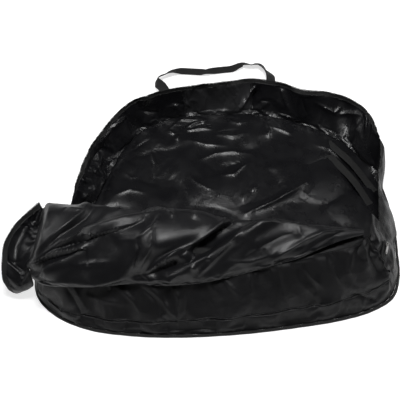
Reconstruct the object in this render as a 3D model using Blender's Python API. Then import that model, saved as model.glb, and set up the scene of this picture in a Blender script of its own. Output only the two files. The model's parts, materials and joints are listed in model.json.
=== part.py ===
"""Soft bike travel bag of thin coated nylon, lying open on its back panel.

The back panel lies on the floor (z = 0). A half-depth gusset with one side of the zip rises round its arch,
a full-depth gusset closes the bottom edge and both ends, and the front panel is thrown forward over the
bottom edge: it turns over along a fold line, and its left shoulder hangs outside with the other half of the
gusset and the zip standing up round it.

Metres, +Z up, +X to the right and +Y towards the top of the bag. The origin is on the underside of the back
panel. Tables of places are shares of BAG_LENGTH in x, BAG_HEIGHT in y and GUSSET_DEPTH in z.
"""

import math
from functools import lru_cache

import bmesh
import bpy
from mathutils import Matrix, Vector

# Driving sizes of the bag as it lies.
BAG_LENGTH = 1.20
BAG_HEIGHT = 0.90
GUSSET_DEPTH = 0.28
FABRIC = 0.003
CLEARANCE = 0.0003

# Zip: tape sewn to the fabric, nylon teeth along its edge.
ZIP_TAPE_WIDTH = 0.016
ZIP_TAPE_THICKNESS = 0.002
ZIP_TOOTH_HEIGHT = 0.0026
ZIP_TOOTH_WIDTH = 0.004
CHAIN_TAPE_WIDTH = 0.030
CHAIN_TAPE_THICKNESS = 0.0012
CHAIN_COIL_WIDTH = 0.006
CHAIN_COIL_HEIGHT = 0.0022
STOP_LENGTH = 0.010
STOP_WIDTH = 0.026
STOP_HEIGHT = 0.003

# Slider and pull.
SLIDER_LENGTH = 0.014
SLIDER_WIDTH = 0.011
SLIDER_ROOF = 0.0014
SLIDER_CHEEK = 0.0016
SLIDER_ROUND = 0.0009
CROWN_LENGTH = 0.009
CROWN_WIDTH = 0.0032
CROWN_HEIGHT = 0.0042
CROWN_BAR = 0.0012
PULL_PIN_RADIUS = 0.0008
PULL_LENGTH = 0.034
PULL_WIDTH = 0.010
PULL_THICKNESS = 0.0018
PULL_ARM = 0.0016
PULL_ARM_LENGTH = 0.0075
PULL_HOLE_RADIUS = 0.0022
SLIDER_TRAVEL = 0.030
# What the closed chain runs on past the slider at the end of its travel.
CHAIN_MARGIN = 0.006
CHAIN_LENGTH = SLIDER_LENGTH + SLIDER_TRAVEL + CHAIN_MARGIN

# Webbing: carrying handles, their sewn ends and the straps inside.
WEBBING_WIDTH = 0.026
WEBBING_THICKNESS = 0.002
REAR_HANDLE_WIDTH = 0.038
HANDLE_ANCHOR_LENGTH = 0.032
HANDLE_DROP = 0.016
HANDLE_LEAVE = 0.006
FRONT_HANDLE_WIDTH = 0.022

# Seam finishes.
BINDING_WIDTH = 0.007
BINDING_HEIGHT = 0.005
SEAM_TAPE_WIDTH = 0.010
SEAM_TAPE_THICKNESS = 0.0012

# How far the walls round out between their two edges.
REAR_BULGE = 0.006
BASE_BULGE = 0.016

# How finely the shells are divided.
REAR_STEPS = 56
# The steps at which the rear half-gusset's three lengths are joined.
REAR_JOIN_STEPS = (20, 28)
REAR_RISE_STEPS = 4
BASE_STEPS = 34
BASE_RISE_STEPS = 5
END_STEPS = 8
FLAP_STEPS = 60
FLAP_RISE_STEPS = 22
ROOT_STEPS = 28
ROOT_RISE_STEPS = 4
HOOD_STEPS = 22
HOOD_RISE_STEPS = 6
TUCK_STEPS = 24
STRAP_STEPS = 64
REAR_STRAP_STEPS = 92
INNER_STRAP_STEPS = 12
SEWN_STEPS = 4

# Where the rear half-gusset stands: foot x, foot y, rim x, rim y, rim z, from the left zip end to the right.
REAR_SHARES = (
    (-0.395, -0.222, -0.392, -0.200, 0.464),
    (-0.321, -0.089, -0.342, -0.117, 0.411),
    (-0.288, 0.022, -0.338, -0.006, 0.386),
    (-0.262, 0.133, -0.323, 0.109, 0.386),
    (-0.225, 0.261, -0.279, 0.256, 0.400),
    (-0.162, 0.367, -0.208, 0.383, 0.430),
    (-0.083, 0.420, -0.107, 0.444, 0.457),
    (0.000, 0.436, 0.000, 0.476, 0.457),
    (0.083, 0.444, 0.079, 0.500, 0.436),
    (0.158, 0.444, 0.157, 0.519, 0.430),
    (0.233, 0.426, 0.233, 0.502, 0.430),
    (0.308, 0.391, 0.315, 0.454, 0.436),
    (0.375, 0.344, 0.379, 0.444, 0.430),
    (0.442, 0.272, 0.450, 0.402, 0.430),
    (0.492, 0.167, 0.500, 0.300, 0.457),
    (0.518, 0.050, 0.500, 0.128, 0.493),
    (0.527, -0.061, 0.480, -0.011, 0.507),
    (0.527, -0.167, 0.463, -0.128, 0.507),
    (0.521, -0.250, 0.454, -0.221, 0.500),
)
# The stretch of that run that the half-gusset and its zip cover.
REAR_WALL_SHARES = (0.006, 0.996)

# Where the full-depth gusset stands: foot x, foot y, top x, top y, top z, from the right zip end round the
# front to the left zip end.
BASE_SHARES = (
    (0.5205, -0.2545, 0.427, -0.214, 0.707),
    (0.512, -0.333, 0.417, -0.272, 0.714),
    (0.488, -0.406, 0.404, -0.306, 0.696),
    (0.433, -0.453, 0.371, -0.333, 0.660),
    (0.350, -0.487, 0.300, -0.350, 0.625),
    (0.233, -0.514, 0.200, -0.372, 0.590),
    (0.100, -0.536, 0.083, -0.383, 0.554),
    (-0.050, -0.547, -0.050, -0.391, 0.536),
    (-0.167, -0.542, -0.158, -0.391, 0.536),
    (-0.275, -0.520, -0.258, -0.383, 0.536),
    (-0.358, -0.472, -0.333, -0.361, 0.529),
    (-0.408, -0.406, -0.377, -0.317, 0.518),
    (-0.421, -0.322, -0.392, -0.261, 0.507),
    (-0.397, -0.2275, -0.3925, -0.2055, 0.500),
)
# Stretches of that run, as shares of it: right end, bottom edge, left end.
RIGHT_END_SHARES = (0.0, 0.150)
BOTTOM_SHARES = (0.152, 0.848)
LEFT_END_SHARES = (0.850, 1.0)
# Height of the seam across the bottom gusset at its right end and its left end.
BOTTOM_SEAM_SHARES = (0.36, 0.20)

# The line that the front panel turns over on, and the places of the panel's turned-over stretch: x at the
# fold line and at the near edge, then y and z from the fold line to the near edge.
FOLD_LEFT_SHARES = (-0.375, -0.161, 0.654)
FOLD_RIGHT_SHARES = (0.405, -0.283, 0.700)
FLAP_SHARES = (
    (-0.394, -0.421, (
        (-0.150, 0.57), (-0.185, 0.585), (-0.225, 0.545), (-0.265, 0.505),
        (-0.305, 0.475), (-0.340, 0.45), (-0.366, 0.42),
    )),
    (-0.385, -0.405, (
        (-0.155, 0.625), (-0.178, 0.675), (-0.235, 0.67), (-0.295, 0.64),
        (-0.350, 0.58), (-0.392, 0.51), (-0.412, 0.43),
    )),
    (-0.367, -0.374, (
        (-0.162, 0.65), (-0.183, 0.73), (-0.244, 0.79), (-0.311, 0.77),
        (-0.372, 0.70), (-0.430, 0.54), (-0.438, 0.45),
    )),
    (-0.300, -0.300, (
        (-0.173, 0.66), (-0.185, 0.74), (-0.250, 0.81), (-0.317, 0.80),
        (-0.383, 0.71), (-0.445, 0.54), (-0.446, 0.45),
    )),
    (-0.240, -0.240, (
        (-0.183, 0.66), (-0.192, 0.74), (-0.258, 0.81), (-0.322, 0.80),
        (-0.389, 0.71), (-0.451, 0.54), (-0.447, 0.46),
    )),
    (-0.167, -0.167, (
        (-0.195, 0.67), (-0.215, 0.71), (-0.278, 0.83), (-0.333, 0.85),
        (-0.389, 0.75), (-0.436, 0.57), (-0.440, 0.48),
    )),
    (-0.083, -0.083, (
        (-0.208, 0.67), (-0.210, 0.77), (-0.267, 0.86), (-0.333, 0.86),
        (-0.389, 0.77), (-0.447, 0.56), (-0.446, 0.48),
    )),
    (0.000, 0.000, (
        (-0.222, 0.68), (-0.226, 0.79), (-0.278, 0.83), (-0.333, 0.82),
        (-0.389, 0.73), (-0.436, 0.56), (-0.438, 0.49),
    )),
    (0.083, 0.083, (
        (-0.235, 0.68), (-0.250, 0.74), (-0.289, 0.80), (-0.333, 0.80),
        (-0.376, 0.73), (-0.416, 0.59), (-0.418, 0.52),
    )),
    (0.167, 0.167, (
        (-0.247, 0.69), (-0.260, 0.79), (-0.289, 0.82), (-0.322, 0.79),
        (-0.356, 0.72), (-0.388, 0.62), (-0.392, 0.57),
    )),
    (0.242, 0.242, (
        (-0.259, 0.69), (-0.270, 0.79), (-0.294, 0.80), (-0.317, 0.77),
        (-0.340, 0.72), (-0.366, 0.66), (-0.370, 0.635),
    )),
    (0.308, 0.308, (
        (-0.268, 0.70), (-0.276, 0.765), (-0.292, 0.775), (-0.307, 0.76),
        (-0.320, 0.74), (-0.334, 0.71), (-0.338, 0.70),
    )),
    (0.358, 0.358, (
        (-0.276, 0.70), (-0.282, 0.745), (-0.290, 0.752), (-0.298, 0.75),
        (-0.306, 0.745), (-0.313, 0.735), (-0.317, 0.73),
    )),
    (0.396, 0.396, (
        (-0.281, 0.70), (-0.285, 0.725), (-0.289, 0.735), (-0.293, 0.735),
        (-0.297, 0.735), (-0.300, 0.73), (-0.303, 0.73),
    )),
)
# Folds that run over that stretch: how high each rises, or dips, from the smooth form as a share of
# GUSSET_DEPTH, then the places it runs through, along and across the stretch.
CREASE_SHARES = (
    (0.030, ((0.00, 0.96), (0.100, 0.720), (0.192, 0.483), (0.250, 0.180))),
    (-0.030, ((0.05, 0.94), (0.150, 0.700), (0.255, 0.480), (0.330, 0.220))),
    (0.034, (
        (0.05, 0.99), (0.200, 0.690), (0.283, 0.517), (0.358, 0.367), (0.417, 0.250), (0.450, 0.080),
    )),
    (-0.026, ((0.14, 0.86), (0.280, 0.700), (0.345, 0.560))),
    (0.026, ((0.414, 0.480), (0.410, 0.620), (0.405, 0.730))),
    (-0.062, (
        (0.405, 0.80), (0.440, 0.710), (0.500, 0.600), (0.542, 0.517), (0.583, 0.400), (0.633, 0.233),
    )),
    (0.040, ((0.470, 0.80), (0.560, 0.640), (0.630, 0.470), (0.690, 0.280))),
    (0.026, ((0.700, 0.74), (0.767, 0.630), (0.833, 0.430), (0.900, 0.260))),
    (-0.034, ((0.720, 0.90), (0.790, 0.780), (0.860, 0.600), (0.915, 0.420))),
)
CREASE_WIDTH = 0.020
# How far in from the edges the folds die out.
CREASE_FADE = 0.020
# The stretch of the panel that still stands on the bottom gusset ends under the fold line; this is how far
# it rises above, or sags below, the straight line between its two edges.
ROOT_RISE_SHARE = -0.015
ROOT_RUN_SHARES = (0.165, 0.860)

# The front half-gusset at the turned-over stretch's left end, from its far tip to the end that hangs to the
# floor: the share across the stretch where it is sewn on, then its middle and its rim.
HOOD_SHARES = (
    (0.00, (-0.402, -0.133, 0.545), (-0.404, -0.114, 0.555)),
    (0.16, (-0.419, -0.170, 0.420), (-0.433, -0.162, 0.570)),
    (0.36, (-0.440, -0.225, 0.330), (-0.468, -0.222, 0.545)),
    (0.58, (-0.452, -0.288, 0.280), (-0.489, -0.288, 0.505)),
    (0.78, (-0.454, -0.343, 0.270), (-0.492, -0.340, 0.430)),
    (0.90, (-0.454, -0.378, 0.270), (-0.492, -0.371, 0.360)),
    (1.00, (-0.455, -0.398, 0.255), (-0.491, -0.390, 0.295)),
)
HOOD_END_SHARES = (
    ((-0.436, -0.398, 0.240), (-0.459, -0.410, 0.180), (-0.488, -0.402, 0.205)),
    ((-0.441, -0.402, 0.125), (-0.462, -0.412, 0.105), (-0.485, -0.409, 0.130)),
)
HOOD_START_SHARE = 0.05
# The same strip along the near edge, where it lies tucked in under the stretch: the share along the stretch
# and the offset from its foot to its rim.
TUCK_SHARES = (
    (0.16, (0.000, 0.050, 0.150)),
    (0.35, (0.000, 0.100, 0.230)),
    (0.52, (0.000, 0.095, 0.220)),
    (0.68, (0.000, 0.042, 0.110)),
)

# Carrying handles, as places along the webbing's middle line: x, y, z and the turn of its width from flat.
REAR_HANDLE_SHARES = (
    ((-0.108, 0.525, 0.160), (-0.30, 0.70, 0.65)),
    ((-0.124, 0.577, 0.110), (-0.60, 0.45, 0.65)),
    ((-0.141, 0.614, 0.084), (-0.95, 0.08, 0.30)),
    ((-0.132, 0.646, 0.074), (-0.70, 0.45, 0.55)),
    ((-0.108, 0.668, 0.066), (-0.15, 0.78, 0.60)),
    ((-0.088, 0.690, 0.038), (0.00, 0.35, 0.94)),
    ((-0.063, 0.701, 0.016), (0.00, 0.00, 1.00)),
    ((-0.031, 0.699, 0.014), (0.00, 0.00, 1.00)),
    ((0.004, 0.695, 0.016), (0.00, 0.00, 1.00)),
    ((0.020, 0.693, 0.028), (0.00, 0.25, 0.97)),
    ((0.042, 0.702, 0.016), (0.00, 0.00, 1.00)),
    ((0.077, 0.710, 0.014), (0.00, 0.00, 1.00)),
    ((0.106, 0.716, 0.016), (0.00, 0.00, 1.00)),
    ((0.125, 0.728, 0.030), (0.00, 0.25, 0.97)),
    ((0.143, 0.739, 0.036), (0.00, 0.35, 0.94)),
    ((0.171, 0.725, 0.062), (0.00, 0.75, 0.65)),
    ((0.195, 0.733, 0.054), (0.20, 0.50, 0.84)),
    ((0.210, 0.702, 0.066), (0.60, 0.45, 0.65)),
    ((0.225, 0.663, 0.094), (0.35, 0.60, 0.70)),
    ((0.228, 0.619, 0.140), (0.30, 0.65, 0.70)),
)
# Where the rear handle's ends are sewn: shares of the rear wall's run and rise.
REAR_ANCHOR_SHARES = ((0.342, 0.56), (0.538, 0.56))
# The front handle is sewn to the tucked strip: shares of the strip's run and rise, and the places between.
FRONT_ANCHOR_SHARES = ((0.265, 0.40), (0.62, 0.40))
FRONT_ANCHOR_SHARE = 0.26
FRONT_HANDLE_SHARES = (
    (-0.234, -0.366, 0.705),
    (-0.220, -0.335, 0.736),
    (-0.192, -0.312, 0.742),
    (-0.150, -0.300, 0.742),
    (-0.105, -0.302, 0.742),
    (-0.068, -0.315, 0.742),
    (-0.052, -0.335, 0.738),
    (-0.046, -0.362, 0.705),
)

# Straps inside that tie the frame down: both ends, and how high each arches.
INNER_STRAP_SHARES = (
    ((0.388, 0.288), (0.500, 0.035)),
    ((0.388, 0.215), (0.494, -0.070)),
)
INNER_STRAP_ARCH = 0.016

# Places along the end gussets where the closed zip runs: a share of the run and a height share.
RIGHT_CHAIN_SHARES = (0.056, 0.130, 0.66)
LEFT_CHAIN_SHARES = (0.955, 0.890, 0.62)
# Half the chain's width as a share of the end gusset's rise.
CHAIN_RISE_SHARE = 0.10

CURVE_STEPS = 12
RIGHT_ANGLE = math.pi / 2


def clear_scene():
    for found in list(bpy.data.objects):
        bpy.data.objects.remove(found)


def material(name, colour, roughness, metallic=0.0):
    made = bpy.data.materials.new(name)
    made.use_nodes = True
    shader = made.node_tree.nodes["Principled BSDF"]
    shader.inputs["Base Color"].default_value = (*colour, 1.0)
    shader.inputs["Roughness"].default_value = roughness
    shader.inputs["Metallic"].default_value = metallic
    return made


def place(x_share, y_share, z_share=0.0):
    return Vector((x_share * BAG_LENGTH, y_share * BAG_HEIGHT, z_share * GUSSET_DEPTH))


def on_spline(points, at):
    """The point at a share of a smooth line through the points, evenly spaced in their order."""
    last = len(points) - 1
    scaled = min(max(at, 0.0), 1.0) * last
    index = min(int(scaled), last - 1)
    p1, p2 = points[index], points[index + 1]
    p0 = points[index - 1] if index else p1 * 2 - p2
    p3 = points[index + 2] if index + 2 <= last else p2 * 2 - p1
    t1 = math.sqrt((p1 - p0).length)
    t2 = t1 + math.sqrt((p2 - p1).length)
    t3 = t2 + math.sqrt((p3 - p2).length)
    t = t1 + (t2 - t1) * (scaled - index)
    a1, a2, a3 = p0.lerp(p1, t / t1), p1.lerp(p2, (t - t1) / (t2 - t1)), p2.lerp(p3, (t - t2) / (t3 - t2))
    b1, b2 = a1.lerp(a2, t / t2), a2.lerp(a3, (t - t1) / (t3 - t1))
    return b1.lerp(b2, (t - t1) / (t2 - t1))


def between(values, at):
    """The value at a share of a run of evenly spaced values."""
    scaled = min(max(at, 0.0), 1.0) * (len(values) - 1)
    index = min(int(scaled), len(values) - 2)
    return values[index].lerp(values[index + 1], scaled - index)


def spaced(count, start=0.0, end=1.0):
    return [start + (end - start) * i / count for i in range(count + 1)]


def finish(name, bm, surface, smooth=True, origin=None):
    """Turns a bmesh in world places into a named object whose origin is at the given point."""
    bmesh.ops.recalc_face_normals(bm, faces=bm.faces)
    origin = origin or Vector()
    bmesh.ops.translate(bm, vec=-origin, verts=bm.verts)
    mesh = bpy.data.meshes.new(name)
    bm.to_mesh(mesh)
    bm.free()
    mesh.materials.append(surface)
    if smooth:
        mesh.shade_smooth()
        mesh.set_sharp_from_angle(angle=RIGHT_ANGLE / 2)
    made = bpy.data.objects.new(name, mesh)
    made.location = origin
    bpy.context.scene.collection.objects.link(made)
    return made


def grid_normals(grid):
    """A unit normal at every point of a grid, from its neighbours along and across."""
    rows, columns = len(grid), len(grid[0])
    normals = []
    for i in range(rows):
        line = []
        for j in range(columns):
            along = grid[min(i + 1, rows - 1)][j] - grid[max(i - 1, 0)][j]
            across = grid[i][min(j + 1, columns - 1)] - grid[i][max(j - 1, 0)]
            line.append(along.cross(across).normalized())
        normals.append(line)
    return normals


def shell(name, grid, thickness, surface, origin=None):
    """A closed sheet of even thickness whose middle is the grid."""
    normals = grid_normals(grid)
    rows, columns = len(grid), len(grid[0])
    bm = bmesh.new()
    half = thickness / 2
    layers = [
        [
            [bm.verts.new(grid[i][j] + normals[i][j] * half * side) for j in range(columns)]
            for i in range(rows)
        ]
        for side in (1, -1)
    ]
    for layer in layers:
        for i in range(rows - 1):
            for j in range(columns - 1):
                bm.faces.new((layer[i][j], layer[i + 1][j], layer[i + 1][j + 1], layer[i][j + 1]))
    rim = [(i, 0) for i in range(rows)]
    rim += [(rows - 1, j) for j in range(1, columns)]
    rim += [(i, columns - 1) for i in range(rows - 2, -1, -1)]
    rim += [(0, j) for j in range(columns - 2, 0, -1)]
    for here, following in zip(rim, rim[1:] + rim[:1]):
        top, bottom = layers
        bm.faces.new(
            (
                top[here[0]][here[1]],
                top[following[0]][following[1]],
                bottom[following[0]][following[1]],
                bottom[here[0]][here[1]],
            )
        )
    return finish(name, bm, surface, origin=origin)


def bar(name, path, sides, height, surface, origin=None):
    """A closed bar of rectangular section that follows a path; sides are its width vectors along it."""
    bm = bmesh.new()
    rings = []
    for i, point in enumerate(path):
        along = (path[min(i + 1, len(path) - 1)] - path[max(i - 1, 0)]).normalized()
        across = sides[i]
        up = across.cross(along).normalized() * height / 2
        corners = (across / 2 + up, -across / 2 + up, -across / 2 - up, across / 2 - up)
        rings.append([bm.verts.new(point + corner) for corner in corners])
    for ring, following in zip(rings, rings[1:]):
        for k in range(4):
            n = (k + 1) % 4
            bm.faces.new((ring[k], ring[n], following[n], following[k]))
    bm.faces.new(rings[0])
    bm.faces.new(rings[-1])
    return finish(name, bm, surface, origin=origin)


def box(bm, centre, size):
    made = bmesh.ops.create_cube(bm, size=1.0)
    bmesh.ops.scale(bm, vec=size, verts=made["verts"])
    bmesh.ops.translate(bm, vec=centre, verts=made["verts"])
    return made["verts"]


@lru_cache(maxsize=None)
def wall_rows(shares):
    """Foot and rim splines of a standing wall. Its foot is high enough to clear the floor."""
    feet = [place(x, y) + Vector((0, 0, FABRIC / 2 + CLEARANCE)) for x, y, *_ in shares]
    rims = [place(x, y, z) for _, _, x, y, z in shares]
    return feet, rims


def wall_point(shares, bulge, along, rise):
    """A point of a wall: a share along its run and a share of its rise, rounded out by the bulge."""
    feet, rims = wall_rows(shares)
    foot, rim = on_spline(feet, along), on_spline(rims, along)
    outward = Vector((foot.x, foot.y, 0)).normalized()
    return foot.lerp(rim, rise) + outward * bulge * 4 * rise * (1 - rise)


def wall_normal(shares, bulge, along, rise, step=0.01):
    here = wall_point(shares, bulge, along, rise)
    ahead = wall_point(shares, bulge, along + step, rise) - here
    above = wall_point(shares, bulge, along, rise + step) - here
    normal = ahead.cross(above).normalized()
    outward = Vector((here.x, here.y, 0))
    return normal if normal.dot(outward) > 0 else -normal


def wall(name, shares, bulge, run, steps, rise_at, rise_steps, surface, thickness=FABRIC):
    """A stretch of a wall; rise_at gives its lower and upper share of the rise at a share of the run."""
    grid = []
    for along in spaced(steps, *run):
        low, high = rise_at(along)
        grid.append([wall_point(shares, bulge, along, r) for r in spaced(rise_steps, low, high)])
    return shell(name, grid, thickness, surface)


def rim_length(along):
    feet, rims = wall_rows(REAR_SHARES)
    return (on_spline(rims, along) - on_spline(feet, along)).length


def rear_tape_start(along):
    """The share of the rear wall's rise at which the zip tape starts."""
    return 1 - (ZIP_TAPE_WIDTH + ZIP_TOOTH_WIDTH) / rim_length(along)


def foot_frame(shares, bulge, along):
    """A point of a wall's foot, its outward direction, and how far the wall leans out as it rises."""
    feet, _ = wall_rows(shares)
    foot = on_spline(feet, along)
    ahead = on_spline(feet, along + 0.01) - on_spline(feet, along - 0.01)
    out = Vector((-ahead.y, ahead.x, 0)).normalized()
    risen = wall_point(shares, bulge, along, 0.1)
    return foot, out, (risen - foot).dot(out) / max(risen.z, FABRIC)


def foot_offset(shares, lean):
    """How far from its middle line the wall's face lies at its foot, clear of its longest chords."""
    chord = FABRIC / 2 if shares is BASE_SHARES else CLEARANCE
    return FABRIC / 2 * math.hypot(1, lean) + CLEARANCE + chord


def panel_outline():
    """The back panel's edge: just inside the feet of both walls."""
    points = []
    for shares, bulge, steps, start, end in (
        (REAR_SHARES, REAR_BULGE, REAR_STEPS, 0.012, 0.990),
        (BASE_SHARES, BASE_BULGE, BASE_STEPS, 0.010, 0.985),
    ):
        for along in spaced(steps, start, end):
            foot, out, lean = foot_frame(shares, bulge, along)
            points.append(foot - out * (foot_offset(shares, lean) + max(-lean, 0.0) * FABRIC))
    return [Vector((p.x, p.y, 0)) for p in points]


def back_panel(surface):
    bm = bmesh.new()
    lower = [bm.verts.new(p) for p in panel_outline()]
    face = bm.faces.new(lower)
    made = bmesh.ops.extrude_face_region(bm, geom=[face])
    raised = [v for v in made["geom"] if isinstance(v, bmesh.types.BMVert)]
    bmesh.ops.translate(bm, vec=(0, 0, FABRIC), verts=raised)
    return finish("back_panel", bm, surface)


def rear_run():
    """The length of the rear wall's foot."""
    feet, _ = wall_rows(REAR_SHARES)
    return sum((b - a).length for a, b in zip(feet, feet[1:]))


def rear_gusset(surface):
    """The rear half-gusset is pieced from three lengths of fabric that meet edge to edge."""
    start, end = REAR_WALL_SHARES
    step = (end - start) / REAR_STEPS
    gap = CLEARANCE / rear_run()
    joins = (0, *REAR_JOIN_STEPS, REAR_STEPS)
    for label, first, last in zip(("left", "middle", "right"), joins, joins[1:]):
        run = (
            start + step * first + (gap if first else 0.0),
            start + step * last - (gap if last < REAR_STEPS else 0.0),
        )
        wall(
            f"rear_gusset_{label}",
            REAR_SHARES,
            REAR_BULGE,
            run,
            last - first,
            lambda along: (0.0, rear_tape_start(along) - 2 * CLEARANCE / rim_length(along)),
            REAR_RISE_STEPS,
            surface,
        )


def rear_zip_tape(surface):
    tooth = ZIP_TOOTH_WIDTH + CLEARANCE
    return wall(
        "rear_zip_tape",
        REAR_SHARES,
        REAR_BULGE,
        REAR_WALL_SHARES,
        REAR_STEPS,
        lambda along: (rear_tape_start(along), 1 - tooth / rim_length(along)),
        1,
        surface,
        ZIP_TAPE_THICKNESS,
    )


def rear_zip_teeth(surface):
    return wall(
        "rear_zip_teeth",
        REAR_SHARES,
        REAR_BULGE,
        REAR_WALL_SHARES,
        REAR_STEPS,
        lambda along: (1 - ZIP_TOOTH_WIDTH / rim_length(along), 1.0),
        1,
        surface,
        ZIP_TOOTH_HEIGHT,
    )


def panel_binding(surface):
    """The bound seam allowance that lies outside the foot of the wall, round the arch and the front."""
    path = []
    for shares, bulge, steps, start, end in (
        (REAR_SHARES, REAR_BULGE, REAR_STEPS, 0.004, 0.995),
        (BASE_SHARES, BASE_BULGE, BASE_STEPS, 0.006, 0.993),
    ):
        for along in spaced(steps, start, end):
            foot, out, lean = foot_frame(shares, bulge, along)
            reach = foot_offset(shares, lean) + max(lean, 0.0) * BINDING_HEIGHT + BINDING_WIDTH / 2
            path.append(foot + out * reach)
            path[-1].z = BINDING_HEIGHT / 2
    bm = bmesh.new()
    rings = []
    for i, point in enumerate(path):
        along = path[(i + 1) % len(path)] - path[i - 1]
        out = Vector((-along.y, along.x, 0)).normalized() * BINDING_WIDTH / 2
        up = Vector((0, 0, BINDING_HEIGHT / 2))
        rings.append([bm.verts.new(point + c) for c in (out + up, up - out, -out - up, out - up)])
    for ring, following in zip(rings, rings[1:] + rings[:1]):
        for k in range(4):
            n = (k + 1) % 4
            bm.faces.new((ring[k], ring[n], following[n], following[k]))
    return finish("panel_binding", bm, surface)


def bottom_seam(along):
    """Height share of the seam across the bottom gusset at a share of the base run."""
    start, end = BOTTOM_SHARES
    t = (along - start) / (end - start)
    right, left = BOTTOM_SEAM_SHARES
    return right + (left - right) * t


def base_height(along):
    feet, tops = wall_rows(BASE_SHARES)
    return (on_spline(tops, along) - on_spline(feet, along)).length


def base_walls(surface, lower_surface):
    gap = CLEARANCE

    def upper(along):
        return bottom_seam(along) + gap / base_height(along), 1.0

    def lower(along):
        return 0.0, bottom_seam(along)

    def whole(along):
        return 0.0, 1.0

    for name, run, steps, rise_at, rise_steps, finish_of in (
        ("bottom_gusset", BOTTOM_SHARES, BASE_STEPS, upper, BASE_RISE_STEPS, surface),
        ("bottom_strip", BOTTOM_SHARES, BASE_STEPS, lower, 2, lower_surface),
        ("right_end_gusset", RIGHT_END_SHARES, END_STEPS, whole, BASE_RISE_STEPS, surface),
        ("left_end_gusset", LEFT_END_SHARES, END_STEPS, whole, BASE_RISE_STEPS, surface),
    ):
        wall(name, BASE_SHARES, BASE_BULGE, run, steps, rise_at, rise_steps, finish_of)


def bottom_seam_tape(surface):
    """The felled seam that stands proud of the bottom gusset where its two strips meet."""
    path, sides = [], []
    lift = FABRIC / 2 + SEAM_TAPE_THICKNESS / 2 + CLEARANCE * 2
    start, end = BOTTOM_SHARES
    for along in spaced(BASE_STEPS, start, end):
        rise = bottom_seam(along)
        normal = wall_normal(BASE_SHARES, BASE_BULGE, along, rise)
        path.append(wall_point(BASE_SHARES, BASE_BULGE, along, rise) + normal * lift)
        above = wall_point(BASE_SHARES, BASE_BULGE, along, rise + 0.02)
        below = wall_point(BASE_SHARES, BASE_BULGE, along, rise - 0.02)
        sides.append((above - below).normalized() * SEAM_TAPE_WIDTH)
    return bar("bottom_seam_tape", path, sides, SEAM_TAPE_THICKNESS, surface)


def fold_point(x):
    left, right = place(*FOLD_LEFT_SHARES), place(*FOLD_RIGHT_SHARES)
    return left.lerp(right, (x - left.x) / (right.x - left.x))


@lru_cache(maxsize=None)
def flap_rows():
    """The turned-over stretch's rows of points; beside the left end its first point is on the fold line."""
    rows = []
    for far_x, near_x, places in FLAP_SHARES:
        last = len(places) - 1
        row = [place(far_x + (near_x - far_x) * i / last, y, z) for i, (y, z) in enumerate(places)]
        if far_x > FOLD_LEFT_SHARES[0]:
            row[0] = fold_point(row[0].x)
        rows.append(row)
    return rows


def smooth_flap_point(along, across):
    return on_spline([on_spline(row, across) for row in flap_rows()], along)


@lru_cache(maxsize=None)
def flap_size():
    """The turned-over stretch's length and its depth at the middle, laid flat."""
    middle = [smooth_flap_point(at, 0.5) for at in spaced(FLAP_STEPS)]
    across = [smooth_flap_point(0.5, at) for at in spaced(FLAP_RISE_STEPS)]
    return tuple(sum((b - a).length for a, b in zip(line, line[1:])) for line in (middle, across))


def crease_lift(along, across):
    """How far the folds raise the turned-over stretch here."""
    length, depth = flap_size()
    here = Vector((along * length, across * depth))
    lift = 0.0
    for height, places in CREASE_SHARES:
        line = [Vector((a * length, b * depth)) for a, b in places]
        near = math.inf
        for a, b in zip(line, line[1:]):
            t = min(max((here - a).dot(b - a) / (b - a).length_squared, 0.0), 1.0)
            near = min(near, (here - a.lerp(b, t)).length)
        lift += height * GUSSET_DEPTH * math.exp(-((near / CREASE_WIDTH) ** 2))
    edges = (along * length, (1 - along) * length, across * depth, (1 - across) * depth)
    narrow = (smooth_flap_point(along, 1.0) - smooth_flap_point(along, 0.0)).length / depth
    return lift * min(1.0, max(0.0, min(edges)) / CREASE_FADE) * min(1.0, narrow * 2) ** 2


def flap_point(along, across, step=0.005):
    here = smooth_flap_point(along, across)
    low, high = max(along - step, 0.0), min(along + step, 1.0)
    ahead = smooth_flap_point(high, across) - smooth_flap_point(low, across)
    low, high = max(across - step, 0.0), min(across + step, 1.0)
    beside = smooth_flap_point(along, high) - smooth_flap_point(along, low)
    return here + beside.cross(ahead).normalized() * crease_lift(along, across)


def flap_normal(along, across, step=0.01):
    """The upper side's normal of the turned-over stretch."""
    ahead = flap_point(min(along + step, 1.0), across) - flap_point(max(along - step, 0.0), across)
    beside = flap_point(along, min(across + step, 1.0)) - flap_point(along, max(across - step, 0.0))
    return beside.cross(ahead).normalized()


def flap_grid():
    return [
        [flap_point(along, across) for across in spaced(FLAP_RISE_STEPS)]
        for along in spaced(FLAP_STEPS)
    ]


def front_panel_flap(surface, axis_origin):
    return shell("front_panel", flap_grid(), FABRIC, surface, origin=axis_origin)


def far_edge(x):
    """The point of the turned-over stretch's far edge that has this x."""
    low, high = 0.0, 1.0
    for _ in range(FLAP_STEPS // 2):
        middle = (low + high) / 2
        if smooth_flap_point(middle, 0.0).x < x:
            low = middle
        else:
            high = middle
    return smooth_flap_point(low, 0.0)


def front_panel_root(surface):
    """The stretch of the front panel between the bottom gusset's top edge and the fold line."""
    _, tops = wall_rows(BASE_SHARES)
    grid = []
    start, end = ROOT_RUN_SHARES
    drop = Vector((0, 0, -(FABRIC + CLEARANCE * 3)))
    for along in spaced(ROOT_STEPS, start, end):
        top = on_spline(tops, along)
        fold = far_edge(top.x) + drop
        foot = top + (fold - top).normalized() * (FABRIC + CLEARANCE)
        rise = Vector((0, 0, ROOT_RISE_SHARE * GUSSET_DEPTH))
        grid.append(
            [foot.lerp(fold, t) + rise * 4 * t * (1 - t) for t in spaced(ROOT_RISE_STEPS)]
        )
    return shell("front_panel_root", grid, FABRIC, surface)


def seam_reach():
    """From the middle of a panel's edge to the middle of the strip that is sewn to it."""
    return FABRIC * 3 / 4 + CLEARANCE


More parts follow.
